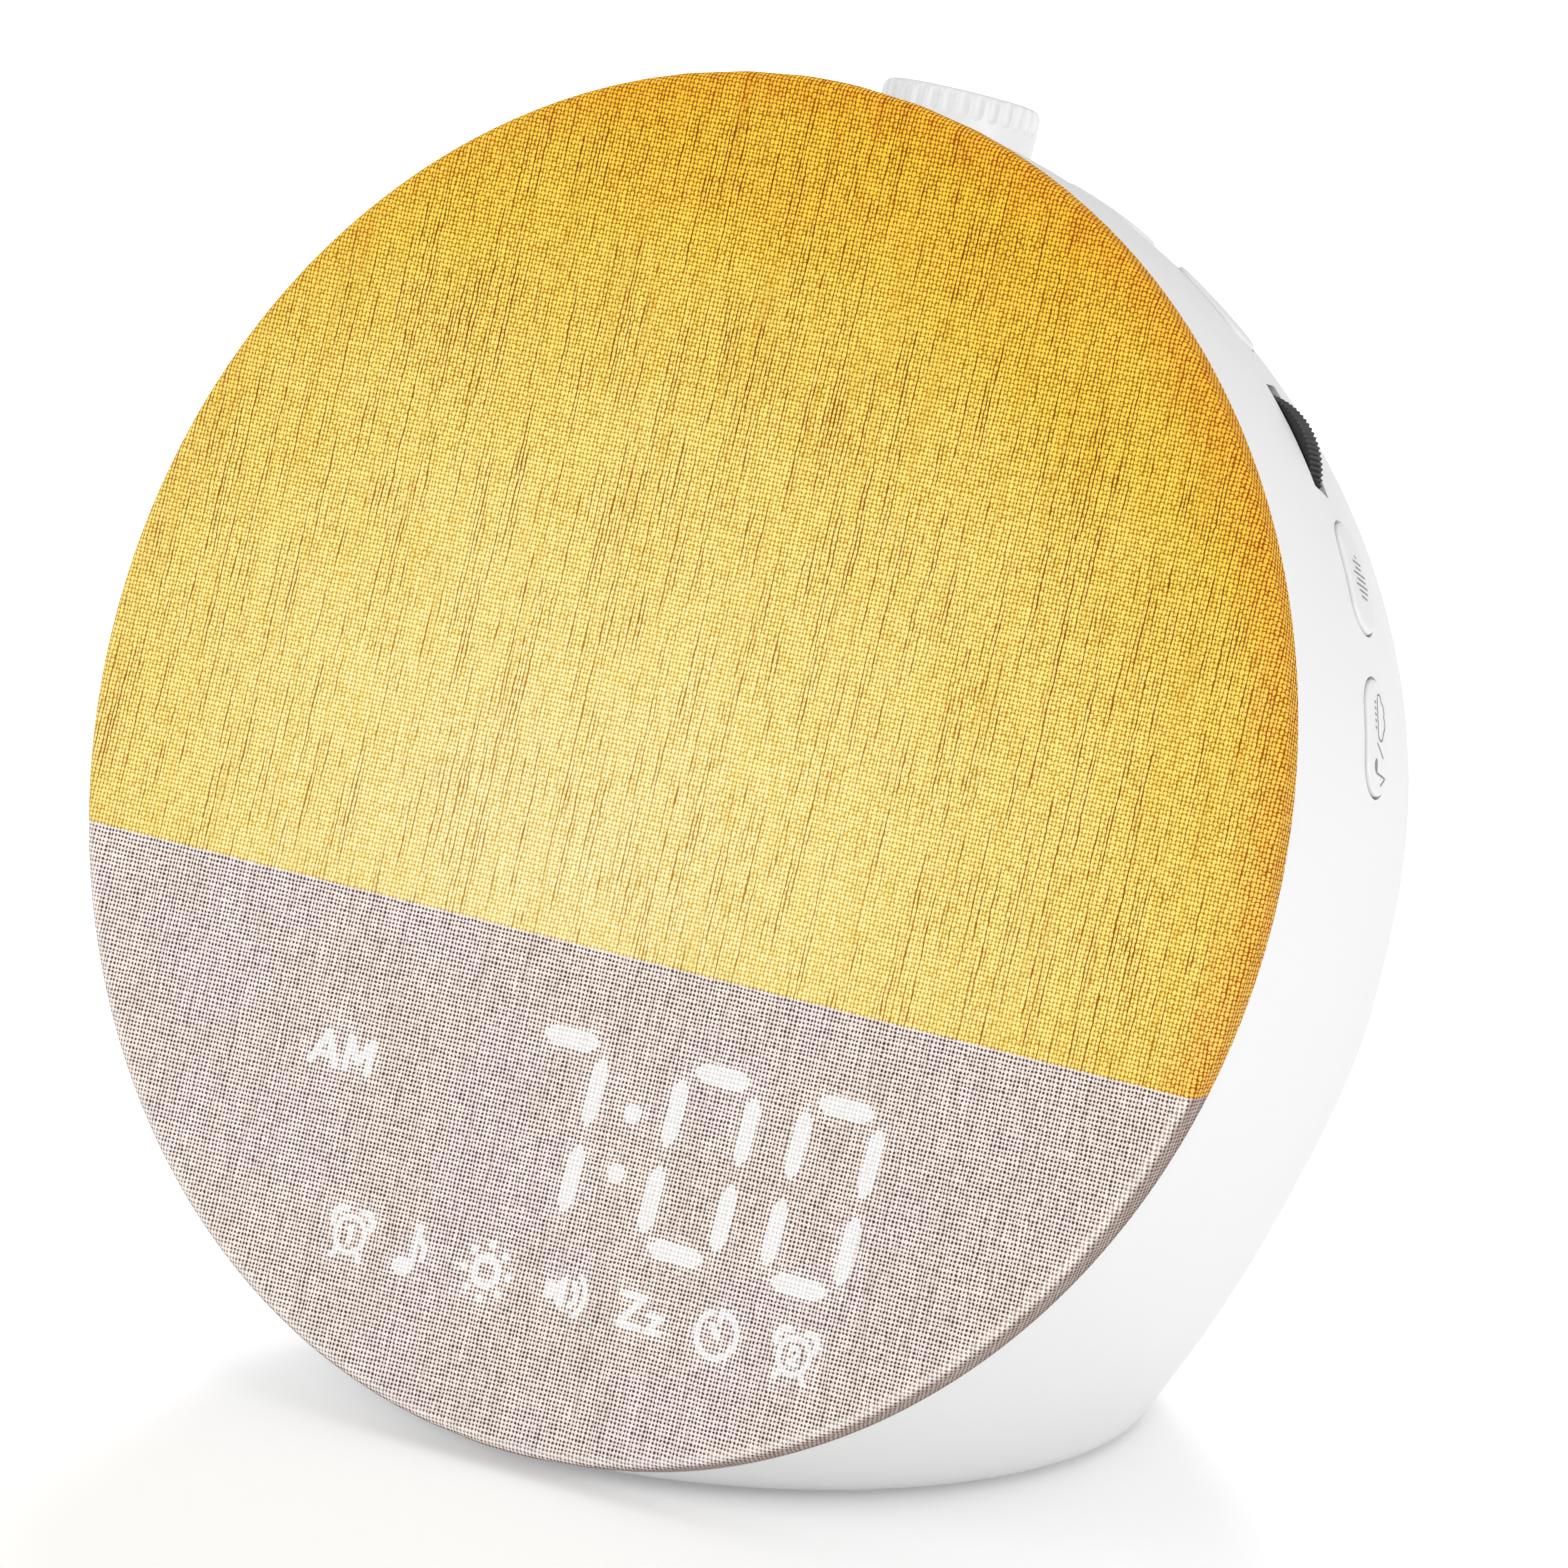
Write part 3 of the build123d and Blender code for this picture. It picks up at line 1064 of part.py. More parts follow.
with BuildPart() as base_plate:
    add_posts(Plane.XY.offset(FLOOR_GAP), [(0, BASE_Y)], PLATE_RADIUS, PLATE_THICKNESS)
    add_posts(Plane.XY.offset(PLATE_TOP), MAIN_POSTS, MAIN_POST_RADIUS, MAIN_BOARD_Z - PLATE_TOP, POST_ROOT)
    cut_holes(Plane.XY.offset(MAIN_BOARD_Z), MAIN_POSTS, SMALL_SCREW[0], SMALL_SCREW[3] - BOARD)
    cut_holes(UNDERSIDE, flipped(FOOT_SPOTS), FOOT_RADIUS, FOOT_SINK)
    cut_holes(UNDERSIDE, flipped(BASE_BOSS_SPOTS), BASE_SCREW[1] + 0.1, BASE_SCREW[2])
    cut_holes(UNDERSIDE, flipped(BASE_BOSS_SPOTS), BASE_SCREW[0] + 0.1, PLATE_THICKNESS)
save(base_plate, "base_plate")

with BuildPart() as rubber_feet:
    add_posts(Plane.XY, FOOT_SPOTS, FOOT_RADIUS, FLOOR_GAP + FOOT_SINK)
save(rubber_feet, "rubber_feet")

# ---------------------------------------------------------------- screws
with BuildPart() as base_screws:
    add_screws(UNDERSIDE.offset(-BASE_SCREW[2]), flipped(BASE_BOSS_SPOTS), BASE_SCREW)
save(base_screws, "base_screws")

with BuildPart() as small_screws:
    add_screws(facing_back(SKIRT_END + CHASSIS_FLANGE_THICKNESS), flipped(FRAME_SCREW_SPOTS), SMALL_SCREW)
    add_screws(layer(LIGHT_FACE), LIGHT_SCREW_SPOTS, SMALL_SCREW)
    add_screws(facing_back(DISPLAY_FACE + BOARD), flipped(DISPLAY_SCREWS), SMALL_SCREW)
    add_screws(facing_back(CONTROL_BOARD_DEPTH + BOARD), flipped(CONTROL_POST_SPOTS), SMALL_SCREW)
    add_screws(KNOB_PLANE.offset(ENCODER_BODY_BOTTOM), ENCODER_SCREWS, SMALL_SCREW)
    add_screws(BOARD_TOP, MAIN_POSTS, SMALL_SCREW)
    speaker_front = Plane(origin=(0, SPEAKER_SEAT_Y + BASKET_FRONT, SPEAKER_Z), x_dir=(1, 0, 0), z_dir=(0, -1, 0))
    add_screws(speaker_front, SPEAKER_SCREW_SPOTS, SMALL_SCREW)
save(small_screws, "small_screws")
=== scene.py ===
"""Sunrise alarm clock: linen face with its light and display, satin body and printed signs, on a pale floor."""

import math
from types import SimpleNamespace

import bmesh
import bpy
import numpy as np
from mathutils import Euler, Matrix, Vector
from mathutils.bvhtree import BVHTree


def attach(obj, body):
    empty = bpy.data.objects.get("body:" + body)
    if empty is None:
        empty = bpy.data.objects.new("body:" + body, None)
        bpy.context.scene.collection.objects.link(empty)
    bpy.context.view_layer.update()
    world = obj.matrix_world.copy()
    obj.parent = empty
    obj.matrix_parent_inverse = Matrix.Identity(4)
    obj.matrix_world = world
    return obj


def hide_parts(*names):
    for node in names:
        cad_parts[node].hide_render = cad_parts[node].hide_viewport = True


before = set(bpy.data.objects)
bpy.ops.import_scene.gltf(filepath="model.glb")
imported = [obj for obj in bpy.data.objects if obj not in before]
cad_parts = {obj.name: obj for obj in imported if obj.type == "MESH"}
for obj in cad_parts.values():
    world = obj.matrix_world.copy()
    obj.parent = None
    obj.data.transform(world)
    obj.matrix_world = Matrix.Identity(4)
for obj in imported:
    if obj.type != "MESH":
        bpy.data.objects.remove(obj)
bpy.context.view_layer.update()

MM = 0.001
BLACK, WHITE = (0.0, 0.0, 0.0, 1.0), (1.0, 1.0, 1.0, 1.0)

# The face, in millimetres. Face coordinates start at its centre: x to the right, y up the slope.
TILT = math.radians(17.0)
FACE_R = 80.0
FACE_Y = -32.5              # the centre's place in the frame
FACE_Z = FACE_R * math.cos(TILT) + 2.5
EDGE_R = 1.2                # the rolled edge between the flat front and the side
FLAT_R = FACE_R - EDGE_R
WALL_DEPTH = 3.2            # the cloth's side ends here
HEM = 3.5                   # folded in behind the side
DIVIDER_Y = -22.1           # the lamp shines above it, the display is below
THREAD_PITCH = 0.5
GLOW = 0.9                  # strength of the light from the cloth


# ------------------------------------------------------------------ camera, fitted to the photograph
camera = bpy.data.objects.new("photo_camera", bpy.data.cameras.new("photo_camera"))
bpy.context.scene.collection.objects.link(camera)
camera.location = (0.65043, -0.99587, 0.37741)
camera.rotation_euler = Euler((math.radians(75.508), math.radians(-4.0229), math.radians(34.3895)), "XYZ")
camera.data.sensor_width = 36.0
camera.data.sensor_fit = "HORIZONTAL"
camera.data.lens = 242.97
camera.data.clip_start = 0.05
camera.data.clip_end = 60.0
bpy.context.scene.camera = camera
bpy.context.scene.view_settings.view_transform = "Standard"


# ------------------------------------------------------------------ small helpers
def to_frame(x, y, depth):
    """Face coordinates in millimetres, with a depth behind the front, to metres in the frame; also for arrays."""
    return (
        x * MM,
        (FACE_Y + y * math.sin(TILT) + depth * math.cos(TILT)) * MM,
        (FACE_Z + y * math.cos(TILT) - depth * math.sin(TILT)) * MM,
    )


def srgb(red, green, blue):
    """An 8-bit display colour as linear RGBA."""
    parts = []
    for value in (red, green, blue):
        value /= 255.0
        parts.append(value / 12.92 if value <= 0.04045 else ((value + 0.055) / 1.055) ** 2.4)
    return (*parts, 1.0)


class Graph:
    """Short names for the nodes of one material, or of the world."""

    def __init__(self, owner, output="ShaderNodeOutputMaterial"):
        owner.use_nodes = True
        self.owner = owner
        self.tree = owner.node_tree
        self.tree.nodes.clear()
        self.output = self.tree.nodes.new(output)

    @classmethod
    def material(cls, name):
        return cls(bpy.data.materials.new(name))

    def new(self, kind, **settings):
        node = self.tree.nodes.new(kind)
        for key, value in settings.items():
            setattr(node, key, value)
        return node

    def put(self, socket, value):
        """Links a socket to the input, or sets the input to a plain value."""
        if isinstance(value, bpy.types.NodeSocket):
            self.tree.links.new(value, socket)
        else:
            socket.default_value = value

    def math(self, operation, *values, clamp=False):
        node = self.new("ShaderNodeMath", operation=operation, use_clamp=clamp)
        for socket, value in zip(node.inputs, values):
            self.put(socket, value)
        return node.outputs[0]

    def scaled(self, value, factor):
        return self.math("MULTIPLY", value, factor)

    def centred(self, value):
        """A value that runs from 0 to 1, moved to run from -0.5 to 0.5."""
        return self.math("SUBTRACT", value, 0.5)

    def hypot(self, x, y):
        squares = [self.math("POWER", self.math("ABSOLUTE", value), 2.0) for value in (x, y)]
        return self.math("SQRT", self.math("ADD", *squares))

    def step(self, value, low, high, out_high=1.0, out_low=0.0):
        """A smooth step; where low is above high, it is a fall."""
        node = self.new("ShaderNodeMapRange", interpolation_type="SMOOTHSTEP")
        for key, item in (("Value", value), ("From Min", low), ("From Max", high),
                          ("To Min", out_low), ("To Max", out_high)):
            self.put(node.inputs[key], item)
        return node.outputs["Result"]

    def vector(self, x, y, z=0.0):
        node = self.new("ShaderNodeCombineXYZ")
        for socket, value in zip(node.inputs, (x, y, z)):
            self.put(socket, value)
        return node.outputs[0]

    def object_place(self):
        return self.new("ShaderNodeTexCoord").outputs["Object"]

    def noise(self, vector, scale, detail=2.0, roughness=0.5):
        node = self.new("ShaderNodeTexNoise")
        self.put(node.inputs["Vector"], vector)
        node.inputs["Scale"].default_value = scale
        node.inputs["Detail"].default_value = detail
        node.inputs["Roughness"].default_value = roughness
        return node.outputs["Fac"]

    def layered(self, colour, *layers):
        """A colour with further colours laid over it, each by its own factor; the colours are 8-bit."""
        for factor, over in layers:
            colour = self.mix(factor, colour, srgb(*over))
        return colour

    def mix(self, factor, first, second):
        node = self.new("ShaderNodeMix", data_type="RGBA")
        self.put(node.inputs[0], factor)
        self.put(node.inputs[6], first)
        self.put(node.inputs[7], second)
        return node.outputs[2]

    def ramp(self, value, stops):
        node = self.new("ShaderNodeValToRGB")
        ramp = node.color_ramp
        while len(ramp.elements) < len(stops):
            ramp.elements.new(0.5)
        for element, (place, colour) in zip(ramp.elements, stops):
            element.position = place
            element.color = colour
        self.put(node.inputs[0], value)
        return node.outputs[0]

    def bump(self, height, distance):
        node = self.new("ShaderNodeBump")
        node.inputs["Strength"].default_value = 1.0
        node.inputs["Distance"].default_value = distance
        self.put(node.inputs["Height"], height)
        return node.outputs[0]

    def surface(self, shader):
        self.tree.links.new(shader, self.output.inputs["Surface"])
        return self.owner


def mottled(g, colour, cloud, darken, roughness, spread, height, depth):
    """A Principled shader: one noise varies colour and gloss, and a height the bumps, its depth in metres."""
    shader = g.new("ShaderNodeBsdfPrincipled")
    dark = tuple(c * (1 - darken) for c in colour[:3]) + (1.0,)
    g.put(shader.inputs["Base Color"], g.mix(cloud, dark, colour))
    gloss = g.step(cloud, 0.3, 0.7, out_low=roughness - spread, out_high=roughness + spread)
    g.put(shader.inputs["Roughness"], gloss)
    g.put(shader.inputs["Normal"], g.bump(height, depth))
    return shader


def plastic(name, colour, roughness, grain=900.0, depth=0.00001, mottle=0.03, **sockets):
    """Moulded plastic: fine grain in the bumps and a trace of unevenness in colour and gloss."""
    g = Graph.material(name)
    place = g.object_place()
    cloud = g.noise(place, scale=40.0, detail=3.0)
    shader = mottled(g, colour, cloud, mottle, roughness, 0.03, g.noise(place, grain), depth)
    for key, value in sockets.items():
        shader.inputs[key.replace("_", " ")].default_value = value
    return g.surface(shader.outputs[0])


def metal(name, colour, roughness):
    """Plain metal with a fine, uneven gloss."""
    g = Graph.material(name)
    fine = g.noise(g.object_place(), scale=700.0, detail=4.0, roughness=0.6)
    shader = mottled(g, colour, fine, 0.15, roughness, 0.06, fine, 0.00001)
    shader.inputs["Metallic"].default_value = 1.0
    return g.surface(shader.outputs[0])


def dress(material, *nodes):
    """Gives CAD nodes a material."""
    for name in nodes:
        obj = bpy.data.objects[name]
        obj.data.materials.clear()
        obj.data.materials.append(material)


# ------------------------------------------------------------------ the display's signs, as distances
def segment(px, py, x1, y1, x2, y2, half):
    """Distance from a straight stroke with round ends."""
    dx, dy = x2 - x1, y2 - y1
    along = np.clip(((px - x1) * dx + (py - y1) * dy) / (dx * dx + dy * dy), 0, 1)
    return np.hypot(px - x1 - along * dx, py - y1 - along * dy) - half


def strokes(px, py, corners, half):
    """Distance from a broken line."""
    return np.min([segment(px, py, *a, *b, half) for a, b in zip(corners, corners[1:])], axis=0)


def dot(px, py, cx, cy, radius):
    """Distance from a filled circle."""
    return np.hypot(px - cx, py - cy) - radius


def ring(px, py, cx, cy, radius, half):
    """Distance from a whole circular line."""
    return np.abs(np.hypot(px - cx, py - cy) - radius) - half


def arc(px, py, cx, cy, radius, half, start, end):
    """Distance from part of a ring, between two angles in degrees from +x."""
    middle, spread = math.radians((start + end) / 2), math.radians((end - start) / 2)
    angle = np.arctan2(py - cy, px - cx) - middle
    angle = np.abs((angle + math.pi) % (2 * math.pi) - math.pi)
    ends = [middle - spread, middle + spread]
    tips = [dot(px, py, cx + radius * math.cos(end), cy + radius * math.sin(end), half) for end in ends]
    return np.where(angle < spread, ring(px, py, cx, cy, radius, half), np.minimum(*tips))


def bar(px, py, cx, cy, length, width, upright, corner=0.25):
    """Distance from a display segment with pointed, slightly rounded ends."""
    x, y = np.abs(px - cx), np.abs(py - cy)
    if not upright:
        x, y = y, x
    side = x - width / 2 + corner
    slope = (x * 1.25 + (y - length / 2 + corner * 1.5)) / math.hypot(1.25, 1.0)
    return np.hypot(np.maximum(side, 0), np.maximum(slope, 0)) + np.minimum(np.maximum(side, slope), 0) - corner


def alarm_sign(px, py, cx, cy, number):
    """Distance from an alarm clock with two bells, two feet and a 1 or a 2 on its dial."""
    pieces = [
        ring(px, py, cx, cy, 2.05, 0.31),
        arc(px, py, cx - 1.55, cy + 1.6, 1.2, 0.42, 72, 205),
        arc(px, py, cx + 1.55, cy + 1.6, 1.2, 0.42, -25, 108),
        *[segment(px, py, cx + side * 1.35, cy - 1.95, cx + side * 1.95, cy - 2.8, 0.36) for side in (-1, 1)],
    ]
    if number == 1:
        pieces.append(strokes(px, py, [(cx - 0.45, cy + 0.6), (cx + 0.1, cy + 0.95), (cx + 0.1, cy - 1.0)], 0.28))
    else:
        pieces.append(arc(px, py, cx, cy + 0.4, 0.55, 0.25, -30, 180))
        pieces.append(strokes(px, py, [(cx + 0.45, cy + 0.1), (cx - 0.6, cy - 0.95), (cx + 0.65, cy - 0.95)], 0.25))
    return np.min(pieces, axis=0)


DIGIT_Y = -42.95            # middle of the digits
DIGIT_CAP = 10.3            # from there to the top and bottom bars
DIGIT_HALF = 5.05           # from there to the middle of an upright bar
DIGIT_SIDE = 4.95           # from the middle of a nought to its upright bars
DIGIT_LEAN = 0.036
NOUGHTS = (17.0, 33.85)
ICON_Y = -60.8              # middle of the row of small signs
SUN_X, TIMER_X = -7.6, 24.4


def time_parts(px, py):
    """Distances from the bars and dots of seven o'clock, in digits that lean a little."""
    lean = px - DIGIT_LEAN * (py + 42.0)
    yield bar(lean, py, -3.9, -32.6, 7.9, 2.3, False)
    for side in (-1, 1):
        yield bar(lean, py, 0.95, DIGIT_Y + side * DIGIT_HALF, 8.2, 2.0, True)
    for centre in NOUGHTS:
        for side in (-1, 1):
            yield bar(lean, py, centre, DIGIT_Y + side * DIGIT_CAP, 7.9, 2.3, False)
            for row in (-1, 1):
                yield bar(lean, py, centre + side * DIGIT_SIDE, DIGIT_Y + row * DIGIT_HALF, 8.2, 2.05, True)
    yield dot(px, py, 6.75, -39.2, 1.15)
    yield dot(px, py, 6.4, -46.2, 1.15)
    # morning mark: A, its cross stroke, M
    low, high = -42.5, -38.9
    yield strokes(px, py, [(-37.9, low), (-36.1, high), (-34.4, low)], 0.45)
    yield segment(px, py, -37.1, -41.4, -35.1, -41.4, 0.38)
    yield strokes(px, py, [(-33.0, low), (-33.0, high), (-31.4, -41.5), (-29.8, high), (-29.8, low)], 0.45)


def icon_parts(px, py):
    """Distances from the parts of the small signs, from left to right."""
    y = ICON_Y
    yield alarm_sign(px, py, -26.9, y, 1)
    # note: oval head, stem and flag
    yield np.hypot((px + 18.9) / 1.25, py - y + 1.9) - 1.1
    yield segment(px, py, -17.75, y - 1.9, -17.75, y + 3.0, 0.32)
    yield strokes(px, py, [(-17.75, y + 3.0), (-17.3, y + 1.6), (-16.4, y + 0.6), (-16.5, y - 0.6)], 0.38)
    # sun with eight dots round it
    yield ring(px, py, SUN_X, y, 1.6, 0.42)
    for i in range(8):
        a = math.radians(45 * i)
        yield dot(px, py, SUN_X + 3.1 * math.cos(a), y + 3.1 * math.sin(a), 0.5)
    # loudspeaker with two waves
    yield strokes(px, py, [(1.3, y - 0.65), (1.3, y + 0.65)], 0.5)
    yield strokes(px, py, [(1.9, y), (3.1, y + 1.35), (3.1, y - 1.35), (1.9, y)], 0.45)
    for radius in (1.75, 3.0):
        yield arc(px, py, 3.2, y, radius, 0.33, -48, 48)
    # two letters for snooze
    yield strokes(px, py, [(11.3, y + 1.8), (14.0, y + 1.8), (11.3, y - 1.6), (14.1, y - 1.6)], 0.42)
    yield strokes(px, py, [(15.1, y + 0.1), (16.9, y + 0.1), (15.1, y - 1.7), (17.0, y - 1.7)], 0.33)
    # timer: open ring, tick and hand
    yield arc(px, py, TIMER_X, y, 2.65, 0.37, -245, 75)
    yield segment(px, py, TIMER_X, y + 2.6, TIMER_X, y + 1.5, 0.34)
    yield segment(px, py, 24.6, y - 0.3, 23.5, y + 0.9, 0.4)
    yield alarm_sign(px, py, 34.9, y, 2)


def display_distance(px, py):
    """Signed distance in millimetres from the nearest lit sign, negative inside."""
    return np.min([*time_parts(px, py), *icon_parts(px, py)], axis=0)


# ------------------------------------------------------------------ linen cover
FINE_LOW, FINE_HIGH = -66.0, -30.0   # the rows that carry the signs
FINE_X = 40.0                        # how far the fine columns reach to each side
NARROW = 43.0                        # rows with a smaller half width squeeze them
SIDE_COLUMNS = 25                    # coarse columns on each side
STEP_BELOW, STEP_ABOVE = 0.8, 1.5    # between the coarse rows
EDGE_STEPS = 8                       # round the rolled edge


def face_grid():
    """The flat front as a grid of quads, finest where the signs are: points, quads and its outline."""
    fine = 0.2
    rows = np.sort(np.concatenate([
        np.arange(FINE_LOW, FINE_HIGH, fine),
        np.arange(FINE_HIGH, FLAT_R - STEP_ABOVE, STEP_ABOVE),
        np.arange(FINE_LOW - STEP_BELOW, -FLAT_R + STEP_BELOW / 2, -STEP_BELOW),
        [-FLAT_R + 0.1, FLAT_R - 0.1, FLAT_R - 0.8],
    ]))
    middle = np.arange(-FINE_X, FINE_X + fine / 2, fine)
    side = np.linspace(0.0, 1.0, SIDE_COLUMNS + 1)[1:]
    grid = []
    for y in rows:
        half = math.sqrt(FLAT_R ** 2 - y ** 2)
        if half > NARROW:
            core, outer = middle, FINE_X + (half - FINE_X) * side
        else:
            core, outer = middle / NARROW * half, half * (FINE_X + (NARROW - FINE_X) * side) / NARROW
        grid.append(np.concatenate([-outer[::-1], core, outer]))
    grid = np.array(grid)
    count_y, count_x = grid.shape
    flat = np.stack([grid, np.repeat(rows[:, None], count_x, axis=1)], axis=-1).reshape(-1, 2)
    index = np.arange(count_y * count_x).reshape(count_y, count_x)
    quads = np.stack([index[:-1, :-1], index[:-1, 1:], index[1:, 1:], index[1:, :-1]], axis=-1).reshape(-1, 4)
    # the outline, counter-clockwise from the lower left
    outline = np.concatenate([index[0, :], index[1:, -1], index[-1, -2::-1], index[-2:0:-1, 0]])
    return flat, quads, outline


def edge_profile():
    """Radius, depth and run along the cloth of the rings that continue the front: edge, side and hem."""
    profile = []
    for i in range(1, EDGE_STEPS + 1):
        a = math.radians(90 * i / EDGE_STEPS)
        profile.append((FLAT_R + EDGE_R * math.sin(a), EDGE_R * (1 - math.cos(a)), FLAT_R + EDGE_R * a))
    side_end = profile[-1][2] + WALL_DEPTH - EDGE_R
    # a chamfer of 0.1 mm keeps the corner to the hem crisp
    profile.append((FACE_R, WALL_DEPTH - 0.1, side_end - 0.1))
    profile.append((FACE_R - 0.1, WALL_DEPTH, side_end))
    for share in (0.35, 0.7, 1.0):
        profile.append((FACE_R - HEM * share, WALL_DEPTH, side_end + HEM * share))
    return profile


def linen_mesh():
    """Face, rolled edge, side and folded hem as one sheet: points, their flat thread coordinates and quads."""
    flat, quads, outline = face_grid()
    angles = np.arctan2(flat[outline, 1], flat[outline, 0])
    cosines, sines = np.cos(angles), np.sin(angles)
    size = len(outline)
    coords = [np.column_stack([flat, np.zeros(len(flat))])]
    thread = [flat]
    faces = [quads]
    last = outline
    for i, (radius, depth, run) in enumerate(edge_profile()):
        coords.append(np.column_stack([radius * cosines, radius * sines, np.full(size, depth)]))
        thread.append(np.column_stack([run * cosines, run * sines]))
        ids = len(flat) + i * size + np.arange(size)
        faces.append(np.stack([last, ids, np.roll(ids, -1), np.roll(last, -1)], axis=-1))
        last = ids
    return np.concatenate(coords), np.concatenate(thread), np.concatenate(faces)


def build_linen(material):
    coords, thread, faces = linen_mesh()
    x, y, depth = coords.T
    mesh = bpy.data.meshes.new("linen_cover")
    mesh.vertices.add(len(coords))
    mesh.vertices.foreach_set("co", np.column_stack(to_frame(x, y, depth)).astype(np.float32).ravel())
    mesh.loops.add(faces.size)
    mesh.loops.foreach_set("vertex_index", faces.astype(np.int32).ravel())
    mesh.polygons.add(len(faces))
    mesh.polygons.foreach_set("loop_start", np.arange(0, faces.size, 4, dtype=np.int32))
    mesh.polygons.foreach_set("use_smooth", np.ones(len(faces), dtype=bool))
    mesh.update(calc_edges=True)
    uv = mesh.uv_layers.new(name="threads")
    uv.data.foreach_set("uv", thread[faces.ravel()].astype(np.float32).ravel())
    # the signs reach the material as a distance stored on the points of the flat front
    far = 6.0
    distance = np.clip(display_distance(x, y), -3.0, far)
    distance[depth > 0.01] = far
    sign = mesh.attributes.new("sign", "FLOAT", "POINT")
    sign.data.foreach_set("value", distance.astype(np.float32))
    mesh.materials.append(material)
    mesh.validate()
    obj = bpy.data.objects.new("linen_cover", mesh)
    bpy.context.scene.collection.objects.link(obj)
    return obj


def weave(g):
    """What the unlit and the lit cloth share, as sockets. u and v are millimetres along the flat cloth."""
    uv = g.new("ShaderNodeUVMap", uv_map="threads").outputs[0]
    parts = g.new("ShaderNodeSeparateXYZ")
    g.put(parts.inputs[0], uv)
    u, v = parts.outputs[0], parts.outputs[1]

    def stretched(across, along, seed, detail=3.0, roughness=0.6):
        """Noise drawn out one way: the factors on u and v are in cycles per millimetre."""
        return g.noise(g.vector(across, along, seed), 1.0, detail, roughness)

    # threads wander a little; a and b count them, and fa and fb run from -0.5 to 0.5 across each
    wander_u = stretched(g.scaled(u, 0.8), g.scaled(v, 0.22), seed=0.0, detail=2.0, roughness=0.5)
    wander_v = stretched(g.scaled(u, 0.22), g.scaled(v, 0.8), seed=7.0, detail=2.0, roughness=0.5)
    a = g.math("DIVIDE", g.math("MULTIPLY_ADD", g.centred(wander_u), 0.5, u), THREAD_PITCH)
    b = g.math("DIVIDE", g.math("MULTIPLY_ADD", g.centred(wander_v), 0.4, v), THREAD_PITCH)
    ia, ib = g.math("FLOOR", a), g.math("FLOOR", b)
    fa, fb = g.centred(g.math("SUBTRACT", a, ia)), g.centred(g.math("SUBTRACT", b, ib))
    warp_thick = stretched(g.scaled(ia, 3.7), g.scaled(v, 0.09), seed=0.0)
    weft_thick = stretched(g.scaled(u, 0.09), g.scaled(ib, 3.7), seed=3.0)

    def thread_height(across, along, neighbour, thickness):
        """Round across and waving along, over one crossing thread and under the next."""
        wave = 0.38
        body = g.math("SUBTRACT", 1.0, g.scaled(g.math("POWER", g.math("ABSOLUTE", across), 2.0), 4.4))
        phase = g.scaled(g.math("ADD", g.centred(along), neighbour), math.pi)
        height = g.math("MULTIPLY_ADD", g.math("COSINE", phase), wave, g.scaled(body, 1.0 - wave))
        return g.math("ADD", height, g.scaled(g.centred(thickness), 0.35))

    warp = thread_height(fa, b, ia, warp_thick)
    weft = thread_height(fb, a, g.math("ADD", ib, 1.0), weft_thick)
    height = g.math("MAXIMUM", warp, weft)

    # pin-holes at the corners between threads, of uneven size
    out_a = g.math("SUBTRACT", 0.5, g.math("ABSOLUTE", fa))
    out_b = g.math("SUBTRACT", 0.5, g.math("ABSOLUTE", fb))
    chance = g.new("ShaderNodeTexWhiteNoise", noise_dimensions="2D")
    g.put(chance.inputs["Vector"], g.vector(ia, ib))
    chance = g.centred(chance.outputs["Value"])
    cloud = g.centred(g.noise(uv, scale=1.9, detail=3.0, roughness=0.65))
    uneven = g.math("MULTIPLY_ADD", chance, 0.1, g.scaled(cloud, 0.34))
    hole = g.step(g.math("ADD", uneven, g.hypot(out_a, out_b)), 0.39, 0.2)

    # painted shade in the gaps between upright threads, long and broken, and short knots among them
    gap = g.math("FLOOR", g.math("ADD", a, 0.5))
    gap_shade_field = stretched(g.scaled(gap, 2.3), g.scaled(v, 0.055), seed=11.0, detail=4.0)
    gap_shade_line = g.step(g.math("MULTIPLY_ADD", chance, 0.14, out_a), 0.26, 0.08)
    knot_field = stretched(g.scaled(gap, 5.9), g.scaled(v, 0.21), seed=17.0, detail=2.0, roughness=0.5)

    # painted light and shade on the threads: their heights as if lit from the upper left, with a checkerboard of
    # crossings
    painted_thread_light = g.math("MULTIPLY_ADD", fa, -0.32, height)
    painted_thread_light = g.math("MULTIPLY_ADD", fb, 0.22, painted_thread_light)
    over = g.math("GREATER_THAN", warp, weft)
    painted_thread_light = g.math("ADD", painted_thread_light, g.math("MULTIPLY_ADD", over, 0.24, g.scaled(chance, 0.2)))

    return SimpleNamespace(
        u=u, v=v, warp_thick=warp_thick, weft_thick=weft_thick, height=height, painted_thread_light=painted_thread_light, chance=chance,
        hole=hole,
        run=g.hypot(u, v),   # from the middle of the face, along the cloth
        solid=g.step(height, 0.08, 0.8),
        seam=g.math("MULTIPLY", g.step(gap_shade_field, 0.48, 0.62), gap_shade_line),
        knot=g.math("MULTIPLY", g.step(knot_field, 0.68, 0.76), g.step(out_a, 0.42, 0.15)),
        streak=stretched(g.scaled(u, 0.55), g.scaled(v, 0.03), seed=5.0, detail=4.0),
        patch=stretched(g.scaled(u, 0.05), g.scaled(v, 0.05), seed=2.0, roughness=0.5),
        fibre=g.noise(uv, scale=5.0, detail=3.0, roughness=0.7),
    )


